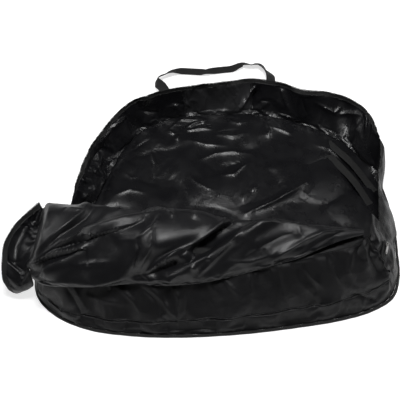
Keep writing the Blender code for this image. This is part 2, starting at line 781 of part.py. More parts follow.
def hood_lines():
    """Foot, middle and rim of the front half-gusset at the left end, far tip first."""
    feet, middles, rims = [], [], []
    for across, middle, rim in HOOD_SHARES:
        edge = flap_point(0.0, across)
        outward = (edge - flap_point(0.02, across)).normalized()
        feet.append(edge + outward * seam_reach())
        middles.append(place(*middle))
        rims.append(place(*rim))
    for foot, middle, rim in HOOD_END_SHARES:
        feet.append(place(*foot))
        middles.append(place(*middle))
        rims.append(place(*rim))
    return feet, middles, rims


def tuck_lines():
    """Foot, middle and rim of the front half-gusset under the near edge, left end first."""
    feet, middles, rims = [], [], []
    offsets = [place(*offset) for _, offset in TUCK_SHARES]
    stations = [Vector((along, 0, 0)) for along, _ in TUCK_SHARES]
    for at in spaced(TUCK_STEPS):
        along = between(stations, at).x
        edge = flap_point(along, 1.0)
        feet.append(edge - flap_normal(along, 0.98) * (FABRIC + CLEARANCE))
        rims.append(feet[-1] + on_spline(offsets, at))
        middles.append(feet[-1].lerp(rims[-1], 0.5))
    return feet, middles, rims


def strip_point(lines, along, rise):
    foot, middle, rim = (on_spline(line, along) for line in lines)
    return on_spline([foot, middle, rim], rise)


def strip_length(lines, along):
    steps = [strip_point(lines, along, r) for r in spaced(HOOD_RISE_STEPS)]
    return sum((b - a).length for a, b in zip(steps, steps[1:]))


def half_gusset(label, lines, start, steps, surfaces, axis_origin):
    """A length of the front half-gusset with its half of the zip: fabric, tape and teeth."""
    fabric, tape, teeth = [], [], []
    for along in spaced(steps, start):
        length = strip_length(lines, along)
        tape_from = 1 - (ZIP_TAPE_WIDTH + ZIP_TOOTH_WIDTH) / length
        tape_to = 1 - (ZIP_TOOTH_WIDTH + CLEARANCE * 2) / length
        sewn = tape_from - CLEARANCE * 3 / length
        fabric.append([strip_point(lines, along, r) for r in spaced(HOOD_RISE_STEPS, 0.0, sewn)])
        tape.append([strip_point(lines, along, r) for r in spaced(1, tape_from, tape_to)])
        teeth.append([strip_point(lines, along, r) for r in spaced(1, 1 - ZIP_TOOTH_WIDTH / length, 1.0)])
    shell(f"front_gusset_{label}", fabric, FABRIC, surfaces["outside"], origin=axis_origin)
    name = f"front_zip_tape_{label}"
    shell(name, tape, ZIP_TAPE_THICKNESS, surfaces["tape"], origin=axis_origin)
    name = f"front_zip_teeth_{label}"
    shell(name, teeth, ZIP_TOOTH_HEIGHT, surfaces["teeth"], origin=axis_origin)


def webbing(name, points, ups, ends, width, steps, surface, origin):
    """A strap along a smooth line through the points.

    ups are the way that its face looks at each point, and ends the way that its width runs at both ends.
    """
    path = [on_spline(points, at) for at in spaced(steps)]
    sides = []
    for i, at in enumerate(spaced(steps)):
        along = (path[min(i + 1, steps)] - path[max(i - 1, 0)]).normalized()
        sides.append(along.cross(between(ups, at)).normalized() * width)
    for index, end in ((0, ends[0]), (-1, ends[1])):
        sides[index] = end.normalized() * width * (1 if end.dot(sides[index]) > 0 else -1)
    return bar(name, path, sides, WEBBING_THICKNESS, surface, origin=origin)


def sewn_end(name, point_at, normal_at, surface, origin=None):
    """The end of a handle's webbing, sewn flat to the fabric.

    Both functions take shares across the webbing and along it.
    """
    lift = FABRIC / 2 + WEBBING_THICKNESS / 2 + CLEARANCE * 2
    grid = [
        [point_at(side, up) + normal_at(side, up) * lift for side in spaced(SEWN_STEPS, -0.5, 0.5)]
        for up in spaced(SEWN_STEPS)
    ]
    return shell(name, grid, WEBBING_THICKNESS, surface, origin=origin)


def crease(at, up, normal):
    """Where a handle leaves its sewn end: just past that end's lower edge."""
    up = (up - up.dot(normal) * normal).normalized()
    lift = FABRIC / 2 + WEBBING_THICKNESS / 2 + CLEARANCE * 2
    return at + normal * lift - up * WEBBING_THICKNESS


def rear_handle(surface):
    run = rear_run()
    points, faces, ends = [], [], []
    for label, (along, rise) in zip(("left", "right"), REAR_ANCHOR_SHARES):
        reach = HANDLE_ANCHOR_LENGTH / rim_length(along)

        def shares(side, up):
            return along + side * REAR_HANDLE_WIDTH / run, rise + up * reach

        def point_at(side, up):
            return wall_point(REAR_SHARES, REAR_BULGE, *shares(side, up))

        def normal_at(side, up):
            return wall_normal(REAR_SHARES, REAR_BULGE, *shares(side, up))

        sewn_end(f"rear_handle_end_{label}", point_at, normal_at, surface)
        at, normal = point_at(0, 0), normal_at(0, 0)
        up = (point_at(0, 0.5) - at).normalized()
        start = crease(at, up, normal)
        points.append([start, start - up * HANDLE_DROP + normal * HANDLE_LEAVE])
        faces.append([normal, normal])
        ends.append(point_at(0.5, 0) - point_at(-0.5, 0))
    middle = [place(*p) for p, _ in REAR_HANDLE_SHARES]
    looks = [Vector(u) for _, u in REAR_HANDLE_SHARES]
    path = points[0] + middle + points[1][::-1]
    looks = faces[0] + looks + faces[1]
    webbing("rear_handle", path, looks, ends, REAR_HANDLE_WIDTH, REAR_STRAP_STEPS, surface, path[0])
    return path[0], path[-1]


def front_handle(surface, axis_origin):
    lines = tuck_lines()
    run = sum((b - a).length for a, b in zip(lines[0], lines[0][1:]))
    points, ends = [], []
    for label, (along, rise) in zip(("left", "right"), FRONT_ANCHOR_SHARES):

        def point_at(side, up):
            beside = along + side * FRONT_HANDLE_WIDTH / run
            return strip_point(lines, beside, rise + up * FRONT_ANCHOR_SHARE)

        def normal_at(side, up):
            here = point_at(side, up)
            normal = (point_at(side + 0.1, up) - here).cross(point_at(side, up + 0.1) - here).normalized()
            return normal if normal.z > 0 else -normal

        sewn_end(f"front_handle_end_{label}", point_at, normal_at, surface, axis_origin)
        normal = normal_at(0, 1)
        back = (point_at(0, 0.9) - point_at(0, 1)).normalized()
        points.append(crease(point_at(0, 1), back, normal))
        ends.append(point_at(0.5, 1) - point_at(-0.5, 1))
    path = [points[0]] + [place(*p) for p in FRONT_HANDLE_SHARES] + [points[1]]
    looks = [Vector((0, 0, 1))] * len(path)
    webbing("front_handle", path, looks, ends, FRONT_HANDLE_WIDTH, STRAP_STEPS, surface, path[0])
    return path[0], path[-1]


def inner_straps(surface):
    for label, ((x0, y0), (x1, y1)) in zip(("upper", "lower"), INNER_STRAP_SHARES):
        start, end = place(x0, y0), place(x1, y1)
        low = FABRIC + WEBBING_THICKNESS / 2 + CLEARANCE
        along = (end - start).normalized()
        across = along.cross(Vector((0, 0, 1))).normalized() * WEBBING_WIDTH
        path = []
        for t in spaced(INNER_STRAP_STEPS):
            height = low + INNER_STRAP_ARCH * math.sin(math.pi * t) ** 2
            path.append(start.lerp(end, t) + Vector((0, 0, height)))
        sides = [across] * len(path)
        bar(f"frame_strap_{label}", path, sides, WEBBING_THICKNESS, surface)


def chain_frame(shares, run_from, run_to, rise):
    """Where the closed zip lies on an end gusset: its start, its direction and the wall's outward normal."""
    a = wall_point(shares, BASE_BULGE, run_from, rise)
    b = wall_point(shares, BASE_BULGE, run_to, rise)
    middle = (run_from + run_to) / 2
    normal = wall_normal(shares, BASE_BULGE, middle, rise)
    along = (b - a).normalized()
    normal = (normal - normal.dot(along) * along).normalized()
    across = normal.cross(along)
    proud = 0.0
    for run in spaced(CURVE_STEPS, run_from, run_to):
        for at in spaced(2, rise - CHAIN_RISE_SHARE, rise + CHAIN_RISE_SHARE):
            proud = max(proud, (wall_point(shares, BASE_BULGE, run, at) - a).dot(normal))
    start = a + normal * (proud + FABRIC / 2 + CHAIN_TAPE_THICKNESS / 2 + CLEARANCE)
    return Matrix((along, across, normal)).transposed().to_4x4(), start


def turned(bm, turn, at):
    """The bmesh again, moved from the slider's own frame to its place."""
    bmesh.ops.transform(bm, matrix=Matrix.Translation(at) @ turn, verts=bm.verts)
    return bm


def zip_chain(side, turn, at, surface):
    """Two tapes and the closed coil between them, as one strip."""
    bm = bmesh.new()
    box(bm, (CHAIN_LENGTH / 2, 0, 0), (CHAIN_LENGTH, CHAIN_TAPE_WIDTH, CHAIN_TAPE_THICKNESS))
    return finish(f"zip_chain_{side}", turned(bm, turn, at), surface)


def zip_coil(side, turn, at, surface):
    bm = bmesh.new()
    lift = CHAIN_TAPE_THICKNESS / 2 + CHAIN_COIL_HEIGHT / 2 + CLEARANCE
    box(bm, (CHAIN_LENGTH / 2, 0, lift), (CHAIN_LENGTH, CHAIN_COIL_WIDTH, CHAIN_COIL_HEIGHT))
    bmesh.ops.bevel(
        bm,
        geom=[e for e in bm.edges if abs((e.verts[0].co - e.verts[1].co).x) > CHAIN_LENGTH / 2],
        offset=CHAIN_COIL_HEIGHT / 3,
        segments=2,
        affect="EDGES",
    )
    return finish(f"zip_coil_{side}", turned(bm, turn, at), surface)


def zip_stop(side, turn, at, surface):
    """The folded tab that is sewn over the end of the zip."""
    bm = bmesh.new()
    middle = CHAIN_LENGTH + STOP_LENGTH / 2 + CLEARANCE
    centre = Vector((middle, 0, STOP_HEIGHT / 2 - CHAIN_TAPE_THICKNESS / 2))
    box(bm, centre, (STOP_LENGTH, STOP_WIDTH, STOP_HEIGHT))
    bmesh.ops.bevel(bm, geom=list(bm.edges), offset=STOP_HEIGHT / 4, segments=1, affect="EDGES")
    return finish(f"zip_stop_{side}", turned(bm, turn, at), surface)


def slider_base():
    """Height of the slider's cheeks above the middle of the tape."""
    return CHAIN_TAPE_THICKNESS / 2 + CLEARANCE


def zip_slider(side, turn, at, surface):
    """Roof, two cheeks beside the coil and a crown that holds the pull."""
    under = slider_base()
    roof_at = under + CHAIN_COIL_HEIGHT + CLEARANCE * 3
    bm = bmesh.new()
    section = [
        (-SLIDER_WIDTH / 2, under),
        (-SLIDER_WIDTH / 2 + SLIDER_CHEEK, under),
        (-SLIDER_WIDTH / 2 + SLIDER_CHEEK, roof_at),
        (SLIDER_WIDTH / 2 - SLIDER_CHEEK, roof_at),
        (SLIDER_WIDTH / 2 - SLIDER_CHEEK, under),
        (SLIDER_WIDTH / 2, under),
        (SLIDER_WIDTH / 2, roof_at + SLIDER_ROOF - SLIDER_ROUND),
        (SLIDER_WIDTH / 2 - SLIDER_ROUND, roof_at + SLIDER_ROOF),
        (-SLIDER_WIDTH / 2 + SLIDER_ROUND, roof_at + SLIDER_ROOF),
        (-SLIDER_WIDTH / 2, roof_at + SLIDER_ROOF - SLIDER_ROUND),
    ]
    face = bm.faces.new([bm.verts.new((0, y, z)) for y, z in section])
    made = bmesh.ops.extrude_face_region(bm, geom=[face])
    moved = [v for v in made["geom"] if isinstance(v, bmesh.types.BMVert)]
    bmesh.ops.translate(bm, vec=(SLIDER_LENGTH, 0, 0), verts=moved)
    body = finish(f"zip_slider_{side}", turned(bm, turn, at), surface, origin=at)
    crown = bmesh.new()
    top = roof_at + SLIDER_ROOF
    middle = SLIDER_LENGTH / 2
    inner = CROWN_LENGTH / 2 - CROWN_BAR
    outline = [
        (middle - CROWN_LENGTH / 2, top - SLIDER_ROOF / 2),
        (middle - CROWN_LENGTH / 2, top + CROWN_HEIGHT - CROWN_BAR),
        (middle - inner, top + CROWN_HEIGHT),
        (middle + inner, top + CROWN_HEIGHT),
        (middle + CROWN_LENGTH / 2, top + CROWN_HEIGHT - CROWN_BAR),
        (middle + CROWN_LENGTH / 2, top - SLIDER_ROOF / 2),
        (middle + inner, top - SLIDER_ROOF / 2),
        (middle + inner, top + CROWN_HEIGHT - CROWN_BAR * 2),
        (middle + inner - CROWN_BAR, top + CROWN_HEIGHT - CROWN_BAR),
        (middle - inner + CROWN_BAR, top + CROWN_HEIGHT - CROWN_BAR),
        (middle - inner, top + CROWN_HEIGHT - CROWN_BAR * 2),
        (middle - inner, top - SLIDER_ROOF / 2),
    ]
    face = crown.faces.new([crown.verts.new((x, -CROWN_WIDTH / 2, z)) for x, z in outline])
    made = bmesh.ops.extrude_face_region(crown, geom=[face])
    moved = [v for v in made["geom"] if isinstance(v, bmesh.types.BMVert)]
    bmesh.ops.translate(crown, vec=(0, CROWN_WIDTH, 0), verts=moved)
    bridge = finish(f"zip_crown_{side}", turned(crown, turn, at), surface, origin=at)
    union = body.modifiers.new("crown", "BOOLEAN")
    union.operation = "UNION"
    union.object = bridge
    bridge.hide_render = True
    bridge.display_type = "WIRE"
    return body


def pull_axis(turn, at):
    """The pin's middle under the slider's crown."""
    roof_top = slider_base() + CHAIN_COIL_HEIGHT + CLEARANCE * 3 + SLIDER_ROOF
    local = Vector((SLIDER_LENGTH / 2, 0, roof_top + PULL_PIN_RADIUS + CLEARANCE * 2))
    return at + turn @ local


def zip_pull(side, turn, at, surface):
    """A pin under the crown, two arms and a flat tab with a hole, lying along the closed zip."""
    pin = pull_axis(turn, at)
    arm_at = CROWN_WIDTH / 2 + PULL_ARM / 2 + CLEARANCE * 3
    half = arm_at + PULL_ARM / 2
    start, end = -PULL_PIN_RADIUS, PULL_LENGTH
    points = [
        (start, -half),
        (PULL_ARM_LENGTH, -half),
        (PULL_ARM_LENGTH + PULL_ARM, -PULL_WIDTH / 2),
        (end - PULL_WIDTH / 4, -PULL_WIDTH / 2),
        (end, -PULL_WIDTH / 4),
        (end, PULL_WIDTH / 4),
        (end - PULL_WIDTH / 4, PULL_WIDTH / 2),
        (PULL_ARM_LENGTH + PULL_ARM, PULL_WIDTH / 2),
        (PULL_ARM_LENGTH, half),
        (start, half),
    ]
    tab = bmesh.new()
    face = tab.faces.new([tab.verts.new((x, y, -PULL_THICKNESS / 2)) for x, y in points])
    made = bmesh.ops.extrude_face_region(tab, geom=[face])
    moved = [v for v in made["geom"] if isinstance(v, bmesh.types.BMVert)]
    bmesh.ops.translate(tab, vec=(0, 0, PULL_THICKNESS), verts=moved)
    pull = finish(f"zip_pull_{side}", turned(tab, turn, pin), surface, origin=pin)
    hole = bmesh.new()
    bmesh.ops.create_cone(
        hole,
        cap_ends=True,
        segments=CURVE_STEPS,
        radius1=PULL_HOLE_RADIUS,
        radius2=PULL_HOLE_RADIUS,
        depth=PULL_THICKNESS * 4,
    )
    bmesh.ops.translate(hole, vec=(PULL_LENGTH - PULL_WIDTH / 2, 0, 0), verts=hole.verts)
    window = bmesh.new()
    centre = ((PULL_PIN_RADIUS + PULL_ARM_LENGTH) / 2, 0, 0)
    size = (PULL_ARM_LENGTH - PULL_PIN_RADIUS, (half - PULL_ARM) * 2, PULL_THICKNESS * 4)
    box(window, centre, size)
    for label, helper in (("hole", hole), ("window", window)):
        cutter = finish(f"zip_{label}_{side}", turned(helper, turn, pin), surface, origin=pin)
        cut = pull.modifiers.new(label, "BOOLEAN")
        cut.operation = "DIFFERENCE"
        cut.object = cutter
        cutter.hide_render = True
        cutter.display_type = "WIRE"
    return pull


def zip_end(side, shares, surfaces):
    """The closed end of the zip with its slider; gives the slide's place and axes and the pull's pin."""
    run_from, run_to, rise = shares
    turn, at = chain_frame(BASE_SHARES, run_from, run_to, rise)
    zip_chain(side, turn, at, surfaces["tape"])
    zip_coil(side, turn, at, surfaces["teeth"])
    zip_stop(side, turn, at, surfaces["webbing"])
    zip_slider(side, turn, at, surfaces["metal"])
    zip_pull(side, turn, at, surfaces["metal"])
    return at, turn.col[0].xyz, pull_axis(turn, at), turn.col[1].xyz


def centre_on_floor():
    """Moves everything so that the bag's middle is over the origin."""
    bpy.context.view_layer.update()
    graph = bpy.context.evaluated_depsgraph_get()
    shown = [o.evaluated_get(graph) for o in bpy.data.objects if not o.hide_render]
    corners = [o.matrix_world @ Vector(corner) for o in shown for corner in o.bound_box]
    low = Vector((min(c.x for c in corners), min(c.y for c in corners), 0))
    high = Vector((max(c.x for c in corners), max(c.y for c in corners), 0))
    shift = (low + high) / -2
    for moved in bpy.data.objects:
        moved.location += shift
    bpy.context.view_layer.update()
    return shift


def main():
    clear_scene()
    outside = material("outer_nylon", (0.014, 0.014, 0.015), 0.55)
    coated = material("coated_nylon", (0.012, 0.012, 0.013), 0.32)
    surfaces = {
        "outside": outside,
        "webbing": material("webbing", (0.012, 0.012, 0.012), 0.75),
        "tape": material("zip_tape", (0.016, 0.016, 0.016), 0.7),
        "teeth": material("zip_teeth", (0.02, 0.02, 0.02), 0.35),
        "metal": material("zip_metal", (0.62, 0.62, 0.62), 0.28, 1.0),
    }
    axis_origin = fold_point(0.0)
    back_panel(coated)
    rear_gusset(coated)
    rear_zip_tape(surfaces["tape"])
    rear_zip_teeth(surfaces["teeth"])
    panel_binding(surfaces["tape"])
    base_walls(outside, outside)
    bottom_seam_tape(outside)
    front_panel_root(coated)
    front_panel_flap(coated, axis_origin)
    half_gusset("left", hood_lines(), HOOD_START_SHARE, HOOD_STEPS, surfaces, axis_origin)
    half_gusset("tucked", tuck_lines(), 0.0, TUCK_STEPS, surfaces, axis_origin)
    inner_straps(surfaces["webbing"])
    places = {"fold": (fold_point(0.0), fold_point(BAG_LENGTH) - fold_point(0.0))}
    left, right = rear_handle(surfaces["webbing"])
    places["rear_handle"] = (left, right - left)
    left, right = front_handle(surfaces["webbing"], axis_origin)
    places["front_handle"] = (left, right - left)
    for side, shares in (("right", RIGHT_CHAIN_SHARES), ("left", LEFT_CHAIN_SHARES)):
        at, along, pin, across = zip_end(side, shares, surfaces)
        places[f"zip_slider_{side}"] = (at, along)
        places[f"zip_pull_{side}"] = (pin, across)
    shift = centre_on_floor()
    for name, (at, axis) in places.items():
        print(name, "at", tuple(at + shift), "along", tuple(axis.normalized()))


main()
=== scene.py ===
"""Looks of the soft bike travel bag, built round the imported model.

Every fabric piece is a fine grid over the same places as its solid. The fabric grows a little in a cloth
simulation, so that it buckles between its seams as thin coated nylon does. Metres, +Z up.
"""

import json
import math

import bpy
import numpy as np
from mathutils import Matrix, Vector
from mathutils.geometry import delaunay_2d_cdt


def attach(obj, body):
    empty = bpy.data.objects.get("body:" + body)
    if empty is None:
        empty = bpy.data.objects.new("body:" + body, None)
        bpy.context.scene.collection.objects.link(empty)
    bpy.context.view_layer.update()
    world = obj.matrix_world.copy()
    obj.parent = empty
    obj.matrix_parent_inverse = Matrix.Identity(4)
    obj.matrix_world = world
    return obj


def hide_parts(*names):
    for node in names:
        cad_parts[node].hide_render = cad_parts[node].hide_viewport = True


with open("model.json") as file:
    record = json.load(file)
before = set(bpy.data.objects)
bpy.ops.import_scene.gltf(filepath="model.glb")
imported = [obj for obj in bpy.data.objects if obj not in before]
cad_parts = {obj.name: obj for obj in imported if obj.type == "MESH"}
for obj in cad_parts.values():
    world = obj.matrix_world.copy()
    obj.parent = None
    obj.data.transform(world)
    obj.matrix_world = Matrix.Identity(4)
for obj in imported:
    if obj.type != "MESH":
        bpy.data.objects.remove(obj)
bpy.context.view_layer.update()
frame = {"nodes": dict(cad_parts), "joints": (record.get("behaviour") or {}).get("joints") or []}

# Sizes and places that the solids were made from, as shares of the bag's length, height and gusset depth.
SCALE = np.array((1.20, 0.90, 0.28))
FABRIC = 0.003
CLEARANCE = 0.0003
ZIP_TAPE_WIDTH = 0.016
ZIP_TOOTH_WIDTH = 0.004
CHAIN_TAPE_WIDTH = 0.030
CHAIN_TAPE_THICKNESS = 0.0012
CHAIN_COIL_HEIGHT = 0.0022
CHAIN_COIL_WIDTH = 0.006
CHAIN_LENGTH = 0.050
STOP_LENGTH = 0.010
STOP_WIDTH = 0.026
STOP_HEIGHT = 0.003
WEBBING_WIDTH = 0.026
WEBBING_THICKNESS = 0.002
REAR_HANDLE_WIDTH = 0.038
FRONT_HANDLE_WIDTH = 0.022
HANDLE_ANCHOR_LENGTH = 0.032
HANDLE_DROP = 0.016
HANDLE_LEAVE = 0.006
BINDING_WIDTH = 0.007
BINDING_HEIGHT = 0.005
# How far each wall bulges halfway up, then its stations: foot x and y, rim x, y and z.
REAR_BULGE = 0.006
BASE_BULGE = 0.016
REAR_SHARES = np.array((
    (-0.395, -0.222, -0.392, -0.200, 0.464),
    (-0.321, -0.089, -0.342, -0.117, 0.411),
    (-0.288, 0.022, -0.338, -0.006, 0.386),
    (-0.262, 0.133, -0.323, 0.109, 0.386),
    (-0.225, 0.261, -0.279, 0.256, 0.400),
    (-0.162, 0.367, -0.208, 0.383, 0.430),
    (-0.083, 0.420, -0.107, 0.444, 0.457),
    (0.000, 0.436, 0.000, 0.476, 0.457),
    (0.083, 0.444, 0.079, 0.500, 0.436),
    (0.158, 0.444, 0.157, 0.519, 0.430),
    (0.233, 0.426, 0.233, 0.502, 0.430),
    (0.308, 0.391, 0.315, 0.454, 0.436),
    (0.375, 0.344, 0.379, 0.444, 0.430),
    (0.442, 0.272, 0.450, 0.402, 0.430),
    (0.492, 0.167, 0.500, 0.300, 0.457),
    (0.518, 0.050, 0.500, 0.128, 0.493),
    (0.527, -0.061, 0.480, -0.011, 0.507),
    (0.527, -0.167, 0.463, -0.128, 0.507),
    (0.521, -0.250, 0.454, -0.221, 0.500),
))
BASE_SHARES = np.array((
    (0.5205, -0.2545, 0.427, -0.214, 0.707),
    (0.512, -0.333, 0.417, -0.272, 0.714),
    (0.488, -0.406, 0.404, -0.306, 0.696),
    (0.433, -0.453, 0.371, -0.333, 0.660),
    (0.350, -0.487, 0.300, -0.350, 0.625),
    (0.233, -0.514, 0.200, -0.372, 0.590),
    (0.100, -0.536, 0.083, -0.383, 0.554),
    (-0.050, -0.547, -0.050, -0.391, 0.536),
    (-0.167, -0.542, -0.158, -0.391, 0.536),
    (-0.275, -0.520, -0.258, -0.383, 0.536),
    (-0.358, -0.472, -0.333, -0.361, 0.529),
    (-0.408, -0.406, -0.377, -0.317, 0.518),
    (-0.421, -0.322, -0.392, -0.261, 0.507),
    (-0.397, -0.2275, -0.3925, -0.2055, 0.500),
))
RIGHT_END_TO = 0.150
LEFT_END_FROM = 0.850
# How high the bottom seam runs in the wall, at its right end and at its left.
BOTTOM_SEAM_SHARES = (0.36, 0.20)
FOLD_LEFT = np.array((-0.375, -0.161, 0.654)) * SCALE
FOLD_RIGHT = np.array((0.405, -0.283, 0.700)) * SCALE
# The turned-over stretch of the front panel: x at its far and near edge, then y and z from far to near.
FLAP_SHARES = (
    (-0.394, -0.421, (-0.150, -0.185, -0.225, -0.265, -0.305, -0.340, -0.366),
     (0.57, 0.585, 0.545, 0.505, 0.475, 0.45, 0.42)),
    (-0.385, -0.405, (-0.155, -0.178, -0.235, -0.295, -0.350, -0.392, -0.412),
     (0.625, 0.675, 0.67, 0.64, 0.58, 0.51, 0.43)),
    (-0.367, -0.374, (-0.162, -0.183, -0.244, -0.311, -0.372, -0.430, -0.438),
     (0.65, 0.73, 0.79, 0.77, 0.70, 0.54, 0.45)),
    (-0.300, -0.300, (-0.173, -0.185, -0.250, -0.317, -0.383, -0.445, -0.446),
     (0.66, 0.74, 0.81, 0.80, 0.71, 0.54, 0.45)),
    (-0.240, -0.240, (-0.183, -0.192, -0.258, -0.322, -0.389, -0.451, -0.447),
     (0.66, 0.74, 0.81, 0.80, 0.71, 0.54, 0.46)),
    (-0.167, -0.167, (-0.195, -0.215, -0.278, -0.333, -0.389, -0.436, -0.440),
     (0.67, 0.71, 0.83, 0.85, 0.75, 0.57, 0.48)),
    (-0.083, -0.083, (-0.208, -0.210, -0.267, -0.333, -0.389, -0.447, -0.446),
     (0.67, 0.77, 0.86, 0.86, 0.77, 0.56, 0.48)),
    (0.000, 0.000, (-0.222, -0.226, -0.278, -0.333, -0.389, -0.436, -0.438),
     (0.68, 0.79, 0.83, 0.82, 0.73, 0.56, 0.49)),
    (0.083, 0.083, (-0.235, -0.250, -0.289, -0.333, -0.376, -0.416, -0.418),
     (0.68, 0.74, 0.80, 0.80, 0.73, 0.59, 0.52)),
    (0.167, 0.167, (-0.247, -0.260, -0.289, -0.322, -0.356, -0.388, -0.392),
     (0.69, 0.79, 0.82, 0.79, 0.72, 0.62, 0.57)),
    (0.242, 0.242, (-0.259, -0.270, -0.294, -0.317, -0.340, -0.366, -0.370),
     (0.69, 0.79, 0.80, 0.77, 0.72, 0.66, 0.635)),
    (0.308, 0.308, (-0.268, -0.276, -0.292, -0.307, -0.320, -0.334, -0.338),
     (0.70, 0.765, 0.775, 0.76, 0.74, 0.71, 0.70)),
    (0.358, 0.358, (-0.276, -0.282, -0.290, -0.298, -0.306, -0.313, -0.317),
     (0.70, 0.745, 0.752, 0.75, 0.745, 0.735, 0.73)),
    (0.396, 0.396, (-0.281, -0.285, -0.289, -0.293, -0.297, -0.300, -0.303),
     (0.70, 0.725, 0.735, 0.735, 0.735, 0.73, 0.73)),
)
# Large folds over that stretch, as the solids have them: height as a share of the gusset depth, then places.
FLAP_FOLDS = (
    (0.030, ((0.00, 0.96), (0.100, 0.720), (0.192, 0.483), (0.250, 0.180))),
    (-0.030, ((0.05, 0.94), (0.150, 0.700), (0.255, 0.480), (0.330, 0.220))),
    (0.034, ((0.05, 0.99), (0.200, 0.690), (0.283, 0.517), (0.358, 0.367), (0.417, 0.250), (0.450, 0.080))),
    (-0.026, ((0.14, 0.86), (0.280, 0.700), (0.345, 0.560))),
    (0.026, ((0.414, 0.480), (0.410, 0.620), (0.405, 0.730))),
    (-0.062, (
        (0.405, 0.80), (0.440, 0.710), (0.500, 0.600), (0.542, 0.517), (0.583, 0.400), (0.633, 0.233),
    )),
    (0.040, ((0.470, 0.80), (0.560, 0.640), (0.630, 0.470), (0.690, 0.280))),
    (0.026, ((0.700, 0.74), (0.767, 0.630), (0.833, 0.430), (0.900, 0.260))),
    (-0.034, ((0.720, 0.90), (0.790, 0.780), (0.860, 0.600), (0.915, 0.420))),
)
FOLD_WIDTH = 0.020
FOLD_FADE = 0.020
# Sharp folds as the photograph shows them: height and width in millimetres, then its pixels.
FLAP_CREASES = (
    (7, 9, ((29, 265), (61, 241), (97, 229), (122, 221), (160, 211))),
    (4.5, 7, ((37, 252), (51, 237), (71, 221), (82, 212), (87, 205))),
    (-4, 7, ((46, 247), (60, 235), (72, 228), (86, 218), (93, 210))),
    (3, 6, ((38, 246), (43, 235), (47, 222), (49, 208))),
    (3, 5, ((61, 208), (72, 209), (84, 210))),
    (7, 11, ((152, 232), (150, 245), (143, 256), (138, 268))),
    (-4.5, 6, ((137, 240), (139, 250), (135, 261), (133, 272))),
    (4, 5, ((135, 239), (144, 233), (153, 227), (159, 216))),
    (-4, 5, ((138, 224), (143, 232))),
    (2, 5, ((105, 245), (115, 240), (128, 239), (135, 240))),
    (3, 6, ((29, 265), (38, 260), (54, 254), (71, 250), (82, 249))),
    (3, 6, ((75, 266), (94, 263), (111, 262))),
    (4.5, 7, ((190, 245), (206, 234), (215, 228), (226, 219), (232, 217))),
    (4.5, 7, ((148, 271), (166, 260), (179, 250), (190, 244))),
    (5, 5, ((200, 275), (212, 262), (225, 248), (236, 236), (246, 227))),
    (3, 6, ((246, 227), (258, 223), (272, 222), (286, 224))),
    (1.5, 6, ((298, 224), (300, 233), (305, 238))),
    (4, 6, ((276, 257), (292, 248), (307, 239), (324, 232), (342, 230))),
    (-1.5, 10, ((240, 262), (262, 246), (282, 236), (296, 232))),
    (2, 6, ((230, 262), (250, 262), (270, 256))),
    (3, 5, ((190, 268), (198, 271))),
    (3, 5, ((207, 257), (211, 261))),
    (3, 6, ((168, 211), (174, 217))),
    (3, 6, ((192, 213), (197, 218))),
)
# Where one stretch of the panel laps over the next: rise, drop and reach in millimetres, then pixels.
FLAP_LAPS = (
    (7, 42, 38, ((146, 274), (176, 258), (198, 243), (216, 231), (234, 220))),
    (5, 22, 22, ((29, 266), (45, 258), (60, 253), (74, 250), (88, 249))),
    (9, 17, 24, ((56, 249), (70, 243), (82, 239), (100, 235), (118, 230), (132, 226), (145, 220))),
)
BASE_CREASES = (
    (-3, 5, ((66, 287), (71, 296), (79, 310), (84, 319))),
    (2, 6, ((73, 285), (80, 298), (88, 312))),
    (2, 5, ((47, 297), (55, 305), (64, 312), (77, 318))),
    (2, 7, ((87, 296), (108, 301), (128, 304))),
    (3, 7, ((112, 284), (122, 290), (134, 301), (140, 312))),
    (3, 7, ((149, 287), (163, 301), (171, 312), (179, 318))),
    (-3, 7, ((140, 287), (155, 300), (160, 312))),
    (3, 6, ((171, 284), (179, 298), (177, 318), (180, 329))),
    (-2, 6, ((185, 284), (187, 300), (186, 316), (190, 327))),
    (3, 7, ((222, 276), (230, 286), (240, 296))),
    (2, 6, ((249, 270), (250, 284), (252, 296))),
    (-1.5, 9, ((277, 263), (281, 284), (284, 297), (292, 311))),
    (2, 8, ((292, 266), (300, 282), (318, 300))),
    (3, 8, ((301, 265), (311, 276), (324, 288))),
    (3, 7, ((331, 264), (337, 276), (345, 289))),
    (3, 8, ((307, 313), (322, 305), (344, 297))),
    (-4, 6, ((352, 293), (368, 299), (381, 302))),
    (6, 8, ((372, 229), (377, 244), (382, 260), (386, 277), (388, 289))),
    (4.5, 7, ((371, 230), (365, 241), (364, 252), (368, 265))),
    (-4.5, 6, ((372, 232), (370, 241), (372, 257), (377, 270))),
    (-3, 7, ((366, 232), (359, 248), (355, 256))),
    (3, 7, ((360, 240), (352, 252), (350, 268), (356, 282))),
    (3, 7, ((388, 240), (391, 256), (393, 272))),
    (-2, 7, ((383, 225), (387, 240), (389, 262))),
)
